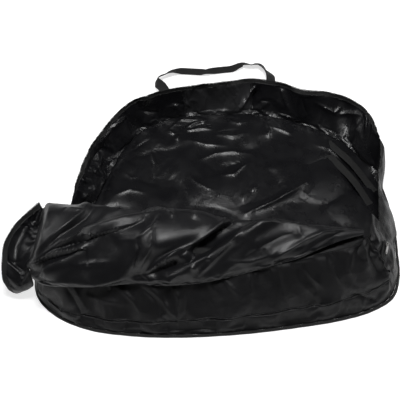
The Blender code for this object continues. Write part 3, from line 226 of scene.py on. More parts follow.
REAR_CREASES = (
    (6, 6, ((257, 85), (251, 91), (245, 100), (242, 106), (238, 110))),
    (-5, 7, ((261, 87), (254, 96), (250, 109))),
    (3, 8, ((187, 90), (188, 98), (186, 110))),
    (3, 6, ((316, 103), (326, 108), (335, 113), (341, 107))),
    (3, 6, ((338, 115), (350, 113), (360, 115))),
    (4, 5, ((128, 114), (122, 120), (116, 124), (108, 129), (101, 140))),
    (3, 7, ((103, 155), (99, 165), (95, 173))),
    (3, 5, ((81, 179), (87, 183))),
    (4, 5, ((80, 200), (86, 194), (94, 188))),
    (3, 5, ((83, 201), (91, 193), (97, 187))),
    (-3, 6, ((140, 110), (150, 112), (160, 112))),
    (3, 6, ((165, 96), (175, 104), (180, 112))),
    (3, 8, ((200, 88), (205, 98), (203, 110))),
    (-3, 8, ((222, 88), (226, 98), (224, 110))),
    (4, 8, ((280, 86), (284, 98), (290, 112))),
    (-3, 8, ((300, 92), (303, 104), (308, 116))),
    (4, 7, ((90, 150), (100, 140), (112, 128))),
    (-3, 6, ((88, 170), (96, 155), (104, 145))),
)
HOOD_CREASES = (
    (4, 5, ((21, 224), (26, 226), (32, 226))),
    (4, 4, ((29, 217), (32, 224), (37, 229))),
    (-4, 5, ((25, 219), (30, 227), (36, 233))),
    (3, 4, ((38, 210), (36, 219), (33, 226))),
    (-3, 6, ((22, 230), (30, 233), (36, 240))),
    (3, 7, ((6, 256), (14, 262), (22, 262))),
    (4, 4, ((5, 255), (12, 262), (20, 269), (33, 278))),
    (-4, 5, ((6, 260), (13, 267), (21, 274), (32, 282))),
)
FLOOR_CREASES = (
    (6, 7, ((137, 128), (132, 136), (125, 148), (119, 161), (113, 172))),
    (-2, 6, ((131, 152), (139, 146), (151, 138))),
    (2, 5, ((125, 173), (131, 178), (137, 177))),
    (4.5, 4, ((169, 130), (174, 126), (182, 124))),
    (4, 4, ((168, 131), (173, 134), (176, 133))),
    (5, 4, ((177, 123), (182, 120), (194, 121), (204, 120))),
    (5, 4, ((185, 129), (195, 124), (206, 121))),
    (4, 4, ((184, 129), (190, 131), (200, 129), (212, 129))),
    (4, 4, ((178, 135), (177, 141))),
    (4, 9, ((189, 140), (206, 145), (225, 146))),
    (4, 5, ((222, 175), (234, 175), (241, 168), (248, 163))),
    (4, 4, ((253, 192), (254, 186))),
    (3, 4, ((242, 194), (244, 201))),
    (7, 8, ((246, 214), (271, 204), (277, 201), (294, 191), (306, 183))),
    (-2, 8, ((240, 206), (255, 200), (268, 194), (280, 186))),
    (4.5, 6, ((264, 121), (269, 128), (269, 139))),
    (4, 6, ((269, 126), (280, 130), (290, 134), (291, 138))),
    (3, 8, ((290, 124), (310, 128), (325, 137))),
    (3, 6, ((316, 145), (330, 150), (340, 158))),
    (3, 7, ((200, 160), (215, 154), (232, 152), (250, 154))),
    (3, 7, ((190, 176), (198, 184), (212, 190))),
    (3, 8, ((150, 150), (156, 165), (152, 180))),
    (3, 7, ((115, 195), (130, 190), (145, 193))),
    (4, 6, ((225, 120), (238, 124), (250, 122))),
    (4, 6, ((215, 134), (232, 137), (246, 133))),
    (-2, 6, ((205, 136), (225, 131), (240, 130))),
)
# How the panel stands behind the fold line: its rise halfway, and its stretch of the base's run.
ROOT_RISE_SHARE = -0.015
ROOT_RUN_SHARES = (0.165, 0.860)
# The strip at the left end: shares of the flap's edge for its foot, then its middle and its rim.
HOOD_SHARES = (
    (0.00, (-0.402, -0.133, 0.545), (-0.404, -0.114, 0.555)),
    (0.16, (-0.419, -0.170, 0.460), (-0.433, -0.162, 0.570)),
    (0.36, (-0.442, -0.225, 0.430), (-0.468, -0.222, 0.545)),
    (0.58, (-0.456, -0.288, 0.395), (-0.489, -0.288, 0.505)),
    (0.78, (-0.458, -0.343, 0.350), (-0.492, -0.340, 0.430)),
    (0.90, (-0.458, -0.378, 0.300), (-0.492, -0.371, 0.360)),
    (1.00, (-0.452, -0.398, 0.255), (-0.491, -0.390, 0.295)),
)
HOOD_END_SHARES = (
    ((-0.414, -0.402, 0.250), (-0.448, -0.411, 0.190), (-0.488, -0.397, 0.205)),
    ((-0.431, -0.396, 0.125), (-0.455, -0.412, 0.105), (-0.486, -0.398, 0.130)),
)
HOOD_START_SHARE = 0.05
# The strip under the near edge: shares of the flap's run, then how far its rim lies from its foot.
TUCK_SHARES = (
    (0.16, (0.000, 0.050, 0.150)),
    (0.35, (0.000, 0.100, 0.230)),
    (0.52, (0.000, 0.095, 0.220)),
    (0.68, (0.000, 0.042, 0.110)),
)
# The rear handle's path, and which way its face looks.
REAR_HANDLE_SHARES = (
    ((-0.108, 0.525, 0.160), (-0.30, 0.70, 0.65)),
    ((-0.124, 0.577, 0.110), (-0.60, 0.45, 0.65)),
    ((-0.141, 0.614, 0.084), (-0.95, 0.08, 0.30)),
    ((-0.132, 0.646, 0.074), (-0.70, 0.45, 0.55)),
    ((-0.108, 0.668, 0.066), (-0.15, 0.78, 0.60)),
    ((-0.088, 0.690, 0.038), (0.00, 0.35, 0.94)),
    ((-0.063, 0.701, 0.016), (0.00, 0.00, 1.00)),
    ((-0.031, 0.699, 0.014), (0.00, 0.00, 1.00)),
    ((0.004, 0.695, 0.016), (0.00, 0.00, 1.00)),
    ((0.020, 0.693, 0.028), (0.00, 0.25, 0.97)),
    ((0.042, 0.702, 0.016), (0.00, 0.00, 1.00)),
    ((0.077, 0.710, 0.014), (0.00, 0.00, 1.00)),
    ((0.106, 0.716, 0.016), (0.00, 0.00, 1.00)),
    ((0.125, 0.728, 0.030), (0.00, 0.25, 0.97)),
    ((0.143, 0.739, 0.036), (0.00, 0.35, 0.94)),
    ((0.171, 0.725, 0.062), (0.00, 0.75, 0.65)),
    ((0.195, 0.733, 0.054), (0.20, 0.50, 0.84)),
    ((0.210, 0.702, 0.066), (0.60, 0.45, 0.65)),
    ((0.225, 0.663, 0.094), (0.35, 0.60, 0.70)),
    ((0.228, 0.619, 0.140), (0.30, 0.65, 0.70)),
)
# Where the handles are sewn on: shares of the run and of the rise.
REAR_ANCHOR_SHARES = ((0.342, 0.56), (0.538, 0.56))
FRONT_ANCHOR_SHARES = ((0.265, 0.40), (0.62, 0.40))
FRONT_ANCHOR_SHARE = 0.26
FRONT_HANDLE_SHARES = (
    (-0.234, -0.366, 0.705), (-0.220, -0.335, 0.736), (-0.192, -0.312, 0.742), (-0.150, -0.300, 0.742),
    (-0.105, -0.302, 0.742), (-0.068, -0.315, 0.742), (-0.052, -0.335, 0.738), (-0.046, -0.362, 0.705),
)
INNER_STRAP_SHARES = (((0.388, 0.288), (0.500, 0.035)), ((0.388, 0.215), (0.494, -0.070)))
INNER_STRAP_ARCH = 0.016
# The rear wall keeps still by the handle's ends, above a share of its rise: how near along its run it is
# still and from where it is free, then that share of its rise and how far below it the wall is free.
ANCHOR_STILL = (0.011, 0.026)
ANCHOR_RISE = (0.48, 0.12)
# The closed stretches of the zip: shares of the base's run from and to, and of its rise.
RIGHT_CHAIN_SHARES = (0.056, 0.130, 0.66)
LEFT_CHAIN_SHARES = (0.955, 0.890, 0.62)
CHAIN_RISE_SHARE = 0.10
CHAIN_STITCHES = (-0.42, -0.34, 0.34, 0.42)
TAB_STITCHES = (-0.26, 0.26)
STRAP_STITCHES = (-0.38, 0.38)

# What the render adds.
CLOTH = 0.0013
ZIP_TAPE_RENDERED = 0.0016
COIL_WIDTH = 0.0040
COIL_HEIGHT = 0.0026
TAPE_STITCHES = (0.12, 0.42)
WEBBING_RIB = 0.0016
STITCH = 0.0032
STITCH_PITCH = 0.0045
THREAD = 0.00045
COIL_PITCH = 0.0027
COIL_WIRE = 0.00055
COIL_OVERLAP = 0.0006
# The rounding of a sharp fold's crest, in metres, and the reach of a lap's step, in millimetres.
CREST = 0.0009
LAP_DROP = 2.5
# Soft undulation of each cloth: waves as pairs of length and height in metres, seed, turn and spread.
RIPPLES = {
    "rear": (((0.22, 0.006), (0.10, 0.003)), 3, 0.0, 1.2),
    "slump": (((0.19, 1.0), (0.085, 0.8)), 21, 0.0, 0.3),
    "base": (((0.30, 0.005), (0.12, 0.003)), 8, 0.1, 0.9),
    "flap": (((0.16, 0.0012),), 5, -0.9, 0.8),
    "floor": (((0.40, 0.004), (0.16, 0.0015)), 12, 0.0, math.pi),
    "seam": (((0.16, 0.6), (0.07, 0.5)), 31, 0.0, 0.2),
}
# How much taller the sharp folds stand than their tables say, against the softening of the cloth.
TALLER = {"rear": 2.2, "base": 2.3, "flap": 2.2, "floor": 2.0, "hood": 1.5}
# Near the front handle's path the panel's folds only rise: metres within which none sinks, and from which
# they sink in full.
HANDLE_CLEAR = (0.018, 0.045)
# For each cloth: how much it grows, how far it may buckle in metres, and how stiffly it bends.
SETTLING = {
    "rear": (0.030, 0.0055, 0.6),
    "base": (0.030, 0.0055, 0.8),
    "flap": (0.012, 0.0030, 1.2),
    "hood": (0.035, 0.0035, 0.5),
    "root": (0.035, 0.0050, 0.5),
    "floor": (0.010, 0.0030, 1.0),
}
SETTLING_FRAMES = 18
REAR_COLUMNS, REAR_ROWS = 420, 19
BASE_COLUMNS, END_COLUMNS, BASE_LOW_ROWS, BASE_HIGH_ROWS = 232, 50, 7, 19
FLAP_COLUMNS, FLAP_ROWS = 170, 46
HOOD_COLUMNS, HOOD_ROWS = 74, 12
# The column of the strip at the left end that its hem stitches follow, counted from its far end.
HOOD_HEM = -14
TUCK_COLUMNS, TUCK_ROWS = 90, 9
ROOT_COLUMNS, ROOT_ROWS = 150, 16
FLOOR_NET = 0.0090
# The lower rear wall slumps inward: by how much, and up to which share of its rise.
SLUMP, SLUMP_RISE = 0.022, 0.50
# How far the rear wall's ends are turned in behind the end gussets, along and inward.
END_TURN, END_TUCK = 0.008, 0.0015
# The joins of the rear half-gusset's three lengths, as shares of its run.
REAR_JOINS = (0.3596, 0.501)
# A felled seam's section: across the seam, and how proud it stands.
SEAM_SECTION = ((-0.0062, 0.0), (-0.0050, 0.0008), (-0.0026, 0.0009), (-0.0009, -0.0030),
                (0.0009, -0.0030), (0.0026, 0.0009), (0.0050, 0.0008), (0.0062, 0.0))
SEAM_SINK = 0.0048
SEAM_CLOTH = 0.0008
SEAM_STITCHES = 0.0036
SEAM_STITCH_LIFT = 0.0013

# The photograph's frame: its middle and its lens in its pixels, and where its camera stands.
FRAME_MIDDLE = 200
LENS_PIXELS = 640
CAMERA_RISE = math.radians(54)
CAMERA_REACH = 2.18
SENSOR_WIDTH = 36
FLOOR_SIZE = 60
FLOOR_WHITE = (0.72, 0.72, 0.72, 1)
FLOOR_GLOW = 0.66
WORLD_LEVEL = 0.05
LAMPS = (
    ("key", (0.0, -0.15, 2.7), (0.0, -0.1, 0.1), (1.0, 0.7), 56),
    ("right", (2.2, 0.9, 1.7), (-0.2, 0.1, 0.1), (0.8, 0.6), 11),
    ("left", (-2.2, 0.9, 1.5), (0.0, 0.1, 0.1), (0.7, 0.5), 14),
)

# Finishes of the cloths: colour, roughness and specular level, then the arguments of tint, roughen, relief,
# each crumple and weave.
FABRICS = {
    "outer_nylon": (
        (0.004, 0.004, 0.005), 0.52, 0.28, (7.0, (0.003, 0.003, 0.0035), (0.006, 0.006, 0.007)),
        (30.0, 0.42, 0.58), (11.0, 0.4, 0.006, 0.12),
        ((13.0, 0.0045, 0.35, (3.5, 0.46, 0.58)), (30.0, 0.0022, 0.25, (5.0, 0.50, 0.62))),
        (0.0011, 0.00012),
    ),
    "coated_nylon": (
        (0.006, 0.006, 0.007), 0.30, 0.40, (9.0, (0.004, 0.004, 0.005), (0.007, 0.007, 0.008)),
        (22.0, 0.24, 0.35), (12.0, 0.6, 0.006, 0.12),
        ((20.0, 0.0030, 0.26, (4.5, 0.52, 0.64)), (52.0, 0.0014, 0.20, (6.0, 0.54, 0.66))),
        (0.0009, 0.00006),
    ),
    "panel_nylon": (
        (0.006, 0.006, 0.007), 0.40, 0.36, (6.0, (0.004, 0.004, 0.005), (0.008, 0.008, 0.009)),
        (22.0, 0.33, 0.44), (14.0, 0.6, 0.004, 0.06),
        ((24.0, 0.0020, 0.16, (4.5, 0.54, 0.66)),), (0.0009, 0.00006),
    ),
    # The coated nylon again but about three times lighter: painted light, which makes the rear wall's middle
    # length look more lit than the lamps make it.
    "painted_light_nylon": (
        (0.020, 0.020, 0.022), 0.40, 0.45, (9.0, (0.013, 0.013, 0.014), (0.027, 0.027, 0.029)),
        (22.0, 0.32, 0.46), (12.0, 0.6, 0.006, 0.12),
        ((20.0, 0.0030, 0.30, (4.5, 0.50, 0.62)), (52.0, 0.0014, 0.24, (6.0, 0.52, 0.64))),
        (0.0009, 0.00006),
    ),
}
UP = np.array((0.0, 0.0, 1.0))


# Places.


def on_spline(points, at):
    """Places at shares of a smooth line through the points, as the solids have it."""
    points = np.asarray(points, float)
    at = np.clip(np.asarray(at, float), 0.0, 1.0) * (len(points) - 1)
    index = np.minimum(at.astype(int), len(points) - 2)
    part = (at - index).reshape((-1,) + (1,) * (points.ndim - 1))
    run = np.concatenate(([points[0] * 2 - points[1]], points, [points[-1] * 2 - points[-2]]))
    p0, p1, p2, p3 = (run[index + k] for k in range(4))

    def knot(a, b):
        return np.sqrt(np.linalg.norm(b - a, axis=-1, keepdims=True))

    t1 = knot(p0, p1)
    t2 = t1 + knot(p1, p2)
    t3 = t2 + knot(p2, p3)
    t = t1 + (t2 - t1) * part
    a1 = p0 + (p1 - p0) * t / t1
    a2 = p1 + (p2 - p1) * (t - t1) / (t2 - t1)
    a3 = p2 + (p3 - p2) * (t - t2) / (t3 - t2)
    b1 = a1 + (a2 - a1) * t / t2
    b2 = a2 + (a3 - a2) * (t - t1) / (t3 - t1)
    return b1 + (b2 - b1) * (t - t1) / (t2 - t1)


def between(values, at):
    """Rows of values at shares of their run, on straight lines."""
    values = np.asarray(values, float)
    at = np.clip(np.asarray(at, float), 0.0, 1.0) * (len(values) - 1)
    index = np.minimum(at.astype(int), len(values) - 2)
    part = (at - index)[:, None]
    return values[index] * (1 - part) + values[index + 1] * part


def at_values(at, run, values):
    """Rows of three values, noted along a run, at other places of it."""
    return np.stack([np.interp(at, run, values[:, k]) for k in range(3)], axis=-1)


def lengths_of(path):
    """Metres from the start of a path to each of its points."""
    return np.concatenate(([0], np.cumsum(np.linalg.norm(np.diff(path, axis=0), axis=1))))


def unit(vectors):
    return vectors / np.maximum(np.linalg.norm(vectors, axis=-1, keepdims=True), 1e-12)


def place(*shares):
    return np.array(shares) * SCALE


def fold_place(x):
    """The place on the fold line that has this x."""
    part = (np.asarray(x, float) - FOLD_LEFT[0]) / (FOLD_RIGHT[0] - FOLD_LEFT[0])
    return FOLD_LEFT + (FOLD_RIGHT - FOLD_LEFT) * part[..., None]


FOLD_JOINT = next(j for j in frame["joints"] if j["name"] == "front_panel_fold")
SHIFT = np.array(FOLD_JOINT["pos_m"]) - fold_place(0.0)


def wall_lines(shares):
    """A wall's stations in metres: the places of its feet and of its rims."""
    feet = np.column_stack((shares[:, :2] * SCALE[:2], np.full(len(shares), FABRIC / 2 + CLEARANCE)))
    return feet, shares[:, 2:] * SCALE


def wall_grid(shares, bulge, along, rise):
    """Places of a standing wall: shares of its run, and for each of them shares of its rise."""
    feet, rims = wall_lines(shares)
    foot, rim = on_spline(feet, along)[:, None], on_spline(rims, along)[:, None]
    outward = unit(foot * (1, 1, 0))
    rise = np.broadcast_to(rise, (len(along), np.shape(rise)[-1]))[..., None]
    return foot + (rim - foot) * rise + outward * bulge * 4 * rise * (1 - rise)


def wall_place(shares, bulge, along, rise):
    return wall_grid(shares, bulge, np.array([along]), np.array([rise]))[0, 0]


def wall_normal(shares, bulge, along, rise, step=0.01):
    here = wall_place(shares, bulge, along, rise)
    ahead = wall_place(shares, bulge, along + step, rise) - here
    above = wall_place(shares, bulge, along, rise + step) - here
    normal = unit(np.cross(ahead, above))
    return normal if normal @ (here * (1, 1, 0)) > 0 else -normal


def wall_height(shares, along):
    feet, rims = wall_lines(shares)
    return np.linalg.norm(on_spline(rims, along) - on_spline(feet, along), axis=-1)


def grid_normals(grid):
    along = np.empty_like(grid)
    along[1:-1] = grid[2:] - grid[:-2]
    along[0], along[-1] = grid[1] - grid[0], grid[-1] - grid[-2]
    across = np.empty_like(grid)
    across[:, 1:-1] = grid[:, 2:] - grid[:, :-2]
    across[:, 0], across[:, -1] = grid[:, 1] - grid[:, 0], grid[:, -1] - grid[:, -2]
    return unit(np.cross(along, across))


def grid_lengths(grid):
    """Metres along and across the cloth at every point of a grid."""
    u = np.zeros(grid.shape[:2])
    v = np.zeros(grid.shape[:2])
    u[1:] = np.cumsum(np.linalg.norm(np.diff(grid, axis=0), axis=-1).mean(1))[:, None]
    v[:, 1:] = np.cumsum(np.linalg.norm(np.diff(grid, axis=1), axis=-1), axis=1)
    return u, v


def seen(places):
    """Where the photograph shows places, in its pixels, and how many metres one pixel spans there."""
    ahead = np.array((0, math.cos(CAMERA_RISE), -math.sin(CAMERA_RISE)))
    upward = np.array((0, math.sin(CAMERA_RISE), math.cos(CAMERA_RISE)))
    ray = places + ahead * CAMERA_REACH
    size = ray @ ahead / LENS_PIXELS
    return FRAME_MIDDLE + ray[..., 0] / size, FRAME_MIDDLE - ray @ upward / size, size


def nearest(places, targets):
    """How far places lie, seen from above, from the nearest of some others."""
    near = np.full(places.shape[:-1], np.inf)
    for target in targets:
        near = np.minimum(near, np.hypot(places[..., 0] - target[0], places[..., 1] - target[1]))
    return near


def beside_line(x, y, line):
    """How far places are from a line, at which share of its run, and on which side of it.

    The side is 1 below a line of the photograph that runs to the right.
    """
    line = np.array(line, float)
    steps = np.diff(line, axis=0)
    runs = np.hypot(*steps.T)
    passed = np.concatenate(([0], np.cumsum(runs)))
    near, at, side = np.full(x.shape, np.inf), np.zeros_like(x), np.zeros_like(x)
    for start, step, run, before in zip(line, steps, runs, passed):
        t = np.clip(((x - start[0]) * step[0] + (y - start[1]) * step[1]) / run**2, 0, 1)
        gap = np.hypot(x - start[0] - t * step[0], y - start[1] - t * step[1])
        closer = gap < near
        near = np.where(closer, gap, near)
        at = np.where(closer, (before + t * run) / passed[-1], at)
        side = np.where(closer, np.sign(step[0] * (y - start[1]) - step[1] * (x - start[0])), side)
    return near, at, side


def folds(u, v, size, table):
    """How far a table of large folds lifts each place; size turns shares into metres of cloth."""
    lift = np.zeros_like(u)
    for height, places in table:
        near, _, _ = beside_line(u, v, np.array(places) * size)
        lift += height * SCALE[2] * np.exp(-((near / FOLD_WIDTH) ** 2))
    return lift


def creases(places, table, taller):
    """How far a table of sharp folds lifts places of the cloth, each fold being taller by a factor."""
    x, y, size = seen(places)
    lift = np.zeros_like(x)
    for height, width, line in table:
        near, at, _ = beside_line(x, y, line)
        crest = np.sin(np.pi * np.clip(at, 0.04, 0.96)) ** 0.6
        away = (np.hypot(near * size, CREST) - CREST) / (width * 0.001)
        lift += height * 0.001 * crest * np.exp(-away)
    return lift * taller


def laps(places, table):
    """How far laps move places of the cloth: it rises up to each line, drops there and then recovers."""
    x, y, size = seen(places)
    lift = np.zeros_like(x)
    for rise, fall, reach, line in table:
        near, at, side = beside_line(x, y, line)
        crest = np.sin(np.pi * at) ** 0.6
        away = near * size * 1000
        past = 0.5 + 0.5 * np.clip(side * away / LAP_DROP, -1, 1)
        lift += 0.001 * crest * np.exp(-away / reach) * (rise * (1 - past) - fall * past)
    return lift


def creased(grid, table, taller, toward, hold, sunk=1.0, lapped=()):
    """The grid with its sharp folds; toward is the side that the photograph shows, hold how free it is."""
    lift = (creases(grid, table, taller) + laps(grid, lapped)) * hold
    lift = np.where(lift < 0, lift * sunk, lift)
    return grid + grid_normals(grid) * (toward * lift)[..., None]


def ripples(u, v, key):
    """How far the soft undulation of a cloth lifts each place."""
    waves, seed, turn, spread = RIPPLES[key]
    source = np.random.default_rng(seed)
    total = np.zeros_like(u)
    for length, height in waves:
        for _ in range(4):
            angle = turn + (source.random() - 0.5) * spread
            phase = source.random() * 2 * math.pi
            wave = 2 * math.pi / (length * (0.75 + source.random() * 0.5))
            total += height / 2 * np.sin((u * math.cos(angle) + v * math.sin(angle)) * wave + phase)
    return total


def ease(values, start, end):
    """From 0 to 1 between two values, and level beyond them."""
    t = np.clip((values - start) / (end - start), 0.0, 1.0)
    return t * t * (3 - 2 * t)


def inside(count, start, end):
    """1 along a run of points, falling to 0 over a share of it at its start and at its end."""
    at = np.linspace(0, 1, count)
    return ease(at, 0.0, start) * ease(1 - at, 0.0, end)


# Cloth.


def grid_faces(rows, columns):
    first = (np.arange(rows - 1)[:, None] * columns + np.arange(columns - 1)).ravel()
    return np.column_stack((first, first + columns, first + columns + 1, first + 1))


def settle(cloths):
    """Lets cloths grow and buckle; each has places, faces, pins, and how free every point is to move."""
    scene = bpy.context.scene
    made = []
    for key, (places, faces, pin, _) in cloths.items():
        growth, _, bend = SETTLING[key]
        mesh = bpy.data.meshes.new("settling")
        mesh.from_pydata(places.reshape(-1, 3).tolist(), [], faces.tolist())
        held = bpy.data.objects.new("settling", mesh)
        scene.collection.objects.link(held)
        group = held.vertex_groups.new(name="pin")
        for weight in np.unique(pin):
            if weight > 0:
                group.add(np.flatnonzero(pin.ravel() == weight).tolist(), float(weight), "REPLACE")
        modifier = held.modifiers.new("cloth", "CLOTH")
        for name, value in dict(
            quality=5, mass=0.12, tension_stiffness=18, compression_stiffness=18, shear_stiffness=8,
            bending_stiffness=bend, air_damping=2, shrink_min=-growth, shrink_max=-growth,
            vertex_group_mass="pin",
        ).items():
            setattr(modifier.settings, name, value)
        modifier.settings.effector_weights.gravity = 0
        modifier.collision_settings.use_collision = False
        modifier.collision_settings.use_self_collision = False
        modifier.point_cache.frame_start, modifier.point_cache.frame_end = 1, SETTLING_FRAMES
        made.append(held)
    for number in range(1, SETTLING_FRAMES + 1):
        scene.frame_set(number)
    results = {}
    graph = bpy.context.evaluated_depsgraph_get()
    for (key, (places, _, _, free)), held in zip(cloths.items(), made):
        rest = places.reshape(-1, 3)
        moved = rest.copy()
        mesh = held.evaluated_get(graph).data
        flat = np.empty(len(mesh.vertices) * 3, np.float32)
        mesh.vertices.foreach_get("co", flat)
        moved = flat.reshape(-1, 3).astype(float)
        step = moved - rest
        size = np.linalg.norm(step, axis=1, keepdims=True)
        cap = SETTLING[key][1]
        step *= cap * np.tanh(size / cap) / np.maximum(size, 1e-9) * free.reshape(-1, 1)
        settled = rest + step
        settled[:, 2] = np.maximum(settled[:, 2], CLOTH / 2 + CLEARANCE)
        results[key] = settled.reshape(places.shape)
        bpy.data.objects.remove(held)
    scene.frame_set(1)
    return results


def finer(grid):
    """The grid again with a point between every two, on smooth lines."""
    for _ in range(2):
        padded = np.concatenate(([grid[0] * 2 - grid[1]], grid, [grid[-1] * 2 - grid[-2]]))
        middle = (padded[1:-2] + padded[2:-1]) * 9 / 16 - (padded[:-3] + padded[3:]) / 16
        made = np.empty((len(grid) * 2 - 1,) + grid.shape[1:])
        made[::2], made[1::2] = grid, middle
        grid = made.swapaxes(0, 1)
    return grid


def finer_values(values):
    return finer(values[..., None])[..., 0]


def split_triangles(values, faces):
    """The net again with every triangle divided in four; values holds a row for each point."""
    sides = np.sort(np.concatenate((faces[:, [0, 1]], faces[:, [1, 2]], faces[:, [2, 0]])), axis=1)
    pairs, where = np.unique(sides, axis=0, return_inverse=True)
    ab, bc, ca = where.reshape(3, -1) + len(values)
    a, b, c = faces.T
    made = [np.column_stack(corners) for corners in ((a, ab, ca), (ab, b, bc), (ca, bc, c), (ab, bc, ca))]
    return np.concatenate((values, values[pairs].mean(1))), np.concatenate(made)


# Meshes.


def piece(name, places, faces, uv, looks, index=None, body="bag_body", nodes=(), slot=None,
          sharp=math.radians(50)):
    """A finished piece of the object that rides on a body and stands for its nodes."""
    mesh = bpy.data.meshes.new(name)
    mesh.from_pydata((places + SHIFT).tolist(), [], faces.tolist() if hasattr(faces, "tolist") else faces)
    layer = mesh.uv_layers.new(name="cloth")
    corners = np.empty(len(mesh.loops), np.int32)
    mesh.loops.foreach_get("vertex_index", corners)
    layer.data.foreach_set("uv", uv[corners].astype(np.float32).ravel())
    for look in looks:
        mesh.materials.append(look)
    if index is not None:
        mesh.polygons.foreach_set("material_index", np.asarray(index, np.int32))
    mesh.shade_smooth()
    if sharp:
        mesh.set_sharp_from_angle(angle=sharp)
    mesh.validate()
    made = bpy.data.objects.new(name, mesh)
    bpy.context.scene.collection.objects.link(made)
    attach(made, body)
    if nodes:
        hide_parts(*nodes)
    return made


def sheet(name, grid, looks, thickness=CLOTH, **rest):
    """Thin cloth from a grid. looks are its finish on the side of its normals and on the other side."""
    rows, columns = grid.shape[:2]
    normals = grid_normals(grid)
    u, v = grid_lengths(grid)
    count = rows * columns
    places = np.concatenate([(grid + normals * thickness / 2 * s).reshape(-1, 3) for s in (1, -1)])
    uv = np.tile(np.column_stack((u.ravel(), v.ravel())), (2, 1))
    front = grid_faces(rows, columns)
    edge = np.concatenate((
        np.arange(rows) * columns,
        (rows - 1) * columns + np.arange(1, columns),
        np.arange(rows - 2, -1, -1) * columns + columns - 1,
        np.arange(columns - 2, 0, -1),
    ))
    after = np.roll(edge, -1)
    around = np.column_stack((after, edge, edge + count, after + count))
    faces = np.concatenate((front, front[:, ::-1] + count, around))
    index = np.concatenate((np.zeros(len(front)), np.ones(len(front)), np.ones(len(around))))
    return piece(name, places, faces, uv, looks, index=index if len(looks) > 1 else None, **rest)


def tube(name, rings, looks, v_at=None, closed=False, **rest):
    """A tube through rings of points, with flat ends unless it is closed."""
    count, sides = rings.shape[:2]
    faces = []
    for i in range(count if closed else count - 1):
        a, b = i * sides, (i + 1) % count * sides
        faces += [(a + k, a + (k + 1) % sides, b + (k + 1) % sides, b + k) for k in range(sides)]
    if not closed:
        faces += [tuple(range(sides))[::-1], tuple(range((count - 1) * sides, count * sides))]
    v = np.zeros(sides) if v_at is None else v_at
    uv = np.column_stack((np.repeat(lengths_of(rings.mean(1)), sides), np.tile(v, count)))
    return piece(name, rings.reshape(-1, 3), faces, uv, looks, **rest)


def strap_rings(path, across, faces_up, width, thickness):
    """Rings of a woven strap: flat faces, a little fuller in the middle, and rounded edges."""
    shape = [(-1.0, 0.0), (-0.97, 0.55), (-0.90, 0.86), (-0.5, 0.96), (0.0, 1.0), (0.5, 0.96), (0.90, 0.86),
             (0.97, 0.55), (1.0, 0.0)]
    shape += [(x, -y) for x, y in shape[-2:0:-1]]
    shape = np.array(shape)
    rings = path[:, None] + across[:, None] * shape[None, :, :1] * width / 2
    rings = rings + faces_up[:, None] * shape[None, :, 1:] * thickness / 2
    return rings, shape[:, 0] * width / 2


def strap(name, path, ups, width, ends=None, **rest):
    """Webbing along a path; ups say which way its face looks."""
    ahead = unit(np.gradient(path, axis=0))
    across = unit(np.cross(ahead, ups))
    if ends is not None:
        for index, end in ((0, ends[0]), (-1, ends[1])):
            across[index] = unit(end) * (1 if end @ across[index] > 0 else -1)
    rings, v = strap_rings(path, across, unit(np.cross(across, ahead)), width, WEBBING_THICKNESS)
    return tube(name, rings, [LOOKS["webbing"]], v_at=v, slot="webbing", **rest)


def stitches(name, path, normals, **rest):
    """A row of lockstitches on a surface: short rounded bars of thread with their ends in the cloth."""
    run = lengths_of(path)
    at = np.linspace(0, run[-1], max(2, int(round(run[-1] / STITCH_PITCH)) + 1))
    places, normals = (at_values(at, run, values) for values in (path, normals))
    ahead = unit(np.gradient(places, axis=0))
    normals = unit(normals)
    beside = np.cross(normals, ahead)
    around = np.array(((1, 0), (0, 1), (-1, 0), (0, -1))) * THREAD
    rings = []
    for share, lift, size in ((-0.5, -1.0, 0.5), (-0.36, 0.4, 1.0), (0.36, 0.4, 1.0), (0.5, -1.0, 0.5)):
        centre = places + ahead * share * STITCH + normals * THREAD * lift
        rings.append(
            centre[:, None] + beside[:, None] * around[None, :, :1] * size
            + normals[:, None] * around[None, :, 1:] * size
        )
    rings = np.stack(rings, axis=1)
    faces = []
    for a in (number * 16 + ring * 4 for number in range(len(rings)) for ring in range(3)):
        faces += [(a + k, a + (k + 1) % 4, a + 4 + (k + 1) % 4, a + 4 + k) for k in range(4)]
    flat = rings.reshape(-1, 3)
    return piece(name, flat, faces, np.zeros((len(flat), 2)), [LOOKS["thread"]], slot="webbing", **rest)


def both_sides(rows, gap, **rest):
    """The same rows of stitches on both faces of a cloth; a row is its name, path and normals."""
    for letter, side in (("a", 1), ("b", -1)):
        for name, path, normals in rows:
            stitches(f"{name}{letter}", path + normals * side * gap, normals * side, **rest)


def coil(name, path, normals, width, height, **rest):
    """A nylon coil: one wire wound along the path."""
    turns = max(3, int(lengths_of(path)[-1] / COIL_PITCH))
    per = 6
    at = np.linspace(0, len(path) - 1, turns * per + 1)
    whole = np.arange(len(path))
    centre, up = at_values(at, whole, path), unit(at_values(at, whole, normals))
    ahead = unit(np.gradient(centre, axis=0))
    side = unit(np.cross(up, ahead))
    angle = np.arange(len(at)) * 2 * math.pi / per
    out = side * np.cos(angle)[:, None] * (width / 2 - COIL_WIRE)
    out += up * np.sin(angle)[:, None] * (height / 2 - COIL_WIRE)
    line = centre + out
    direction = unit(np.gradient(line, axis=0))
    radial = unit(out - direction * (out * direction).sum(1, keepdims=True))
    other = np.cross(direction, radial)
    ring = np.array([(math.cos(a), math.sin(a)) for a in np.arange(4) * math.pi / 2]) * COIL_WIRE
    rings = line[:, None] + radial[:, None] * ring[None, :, :1] + other[:, None] * ring[None, :, 1:]
    return tube(name, rings, [LOOKS["zip_teeth"]], slot="zip_teeth", **rest)


# Finishes.


LOOKS = {}


def add_node(tree, kind, inputs=(), **settings):
    """A node with its settings; an input is a value, or the output that feeds it."""
    node = tree.nodes.new(kind)
    for key, value in settings.items():
        setattr(node, key, value)
    for key, value in dict(inputs).items():
        if isinstance(value, bpy.types.NodeSocket):
            tree.links.new(value, node.inputs[key])
        else:
            node.inputs[key].default_value = value
    return node


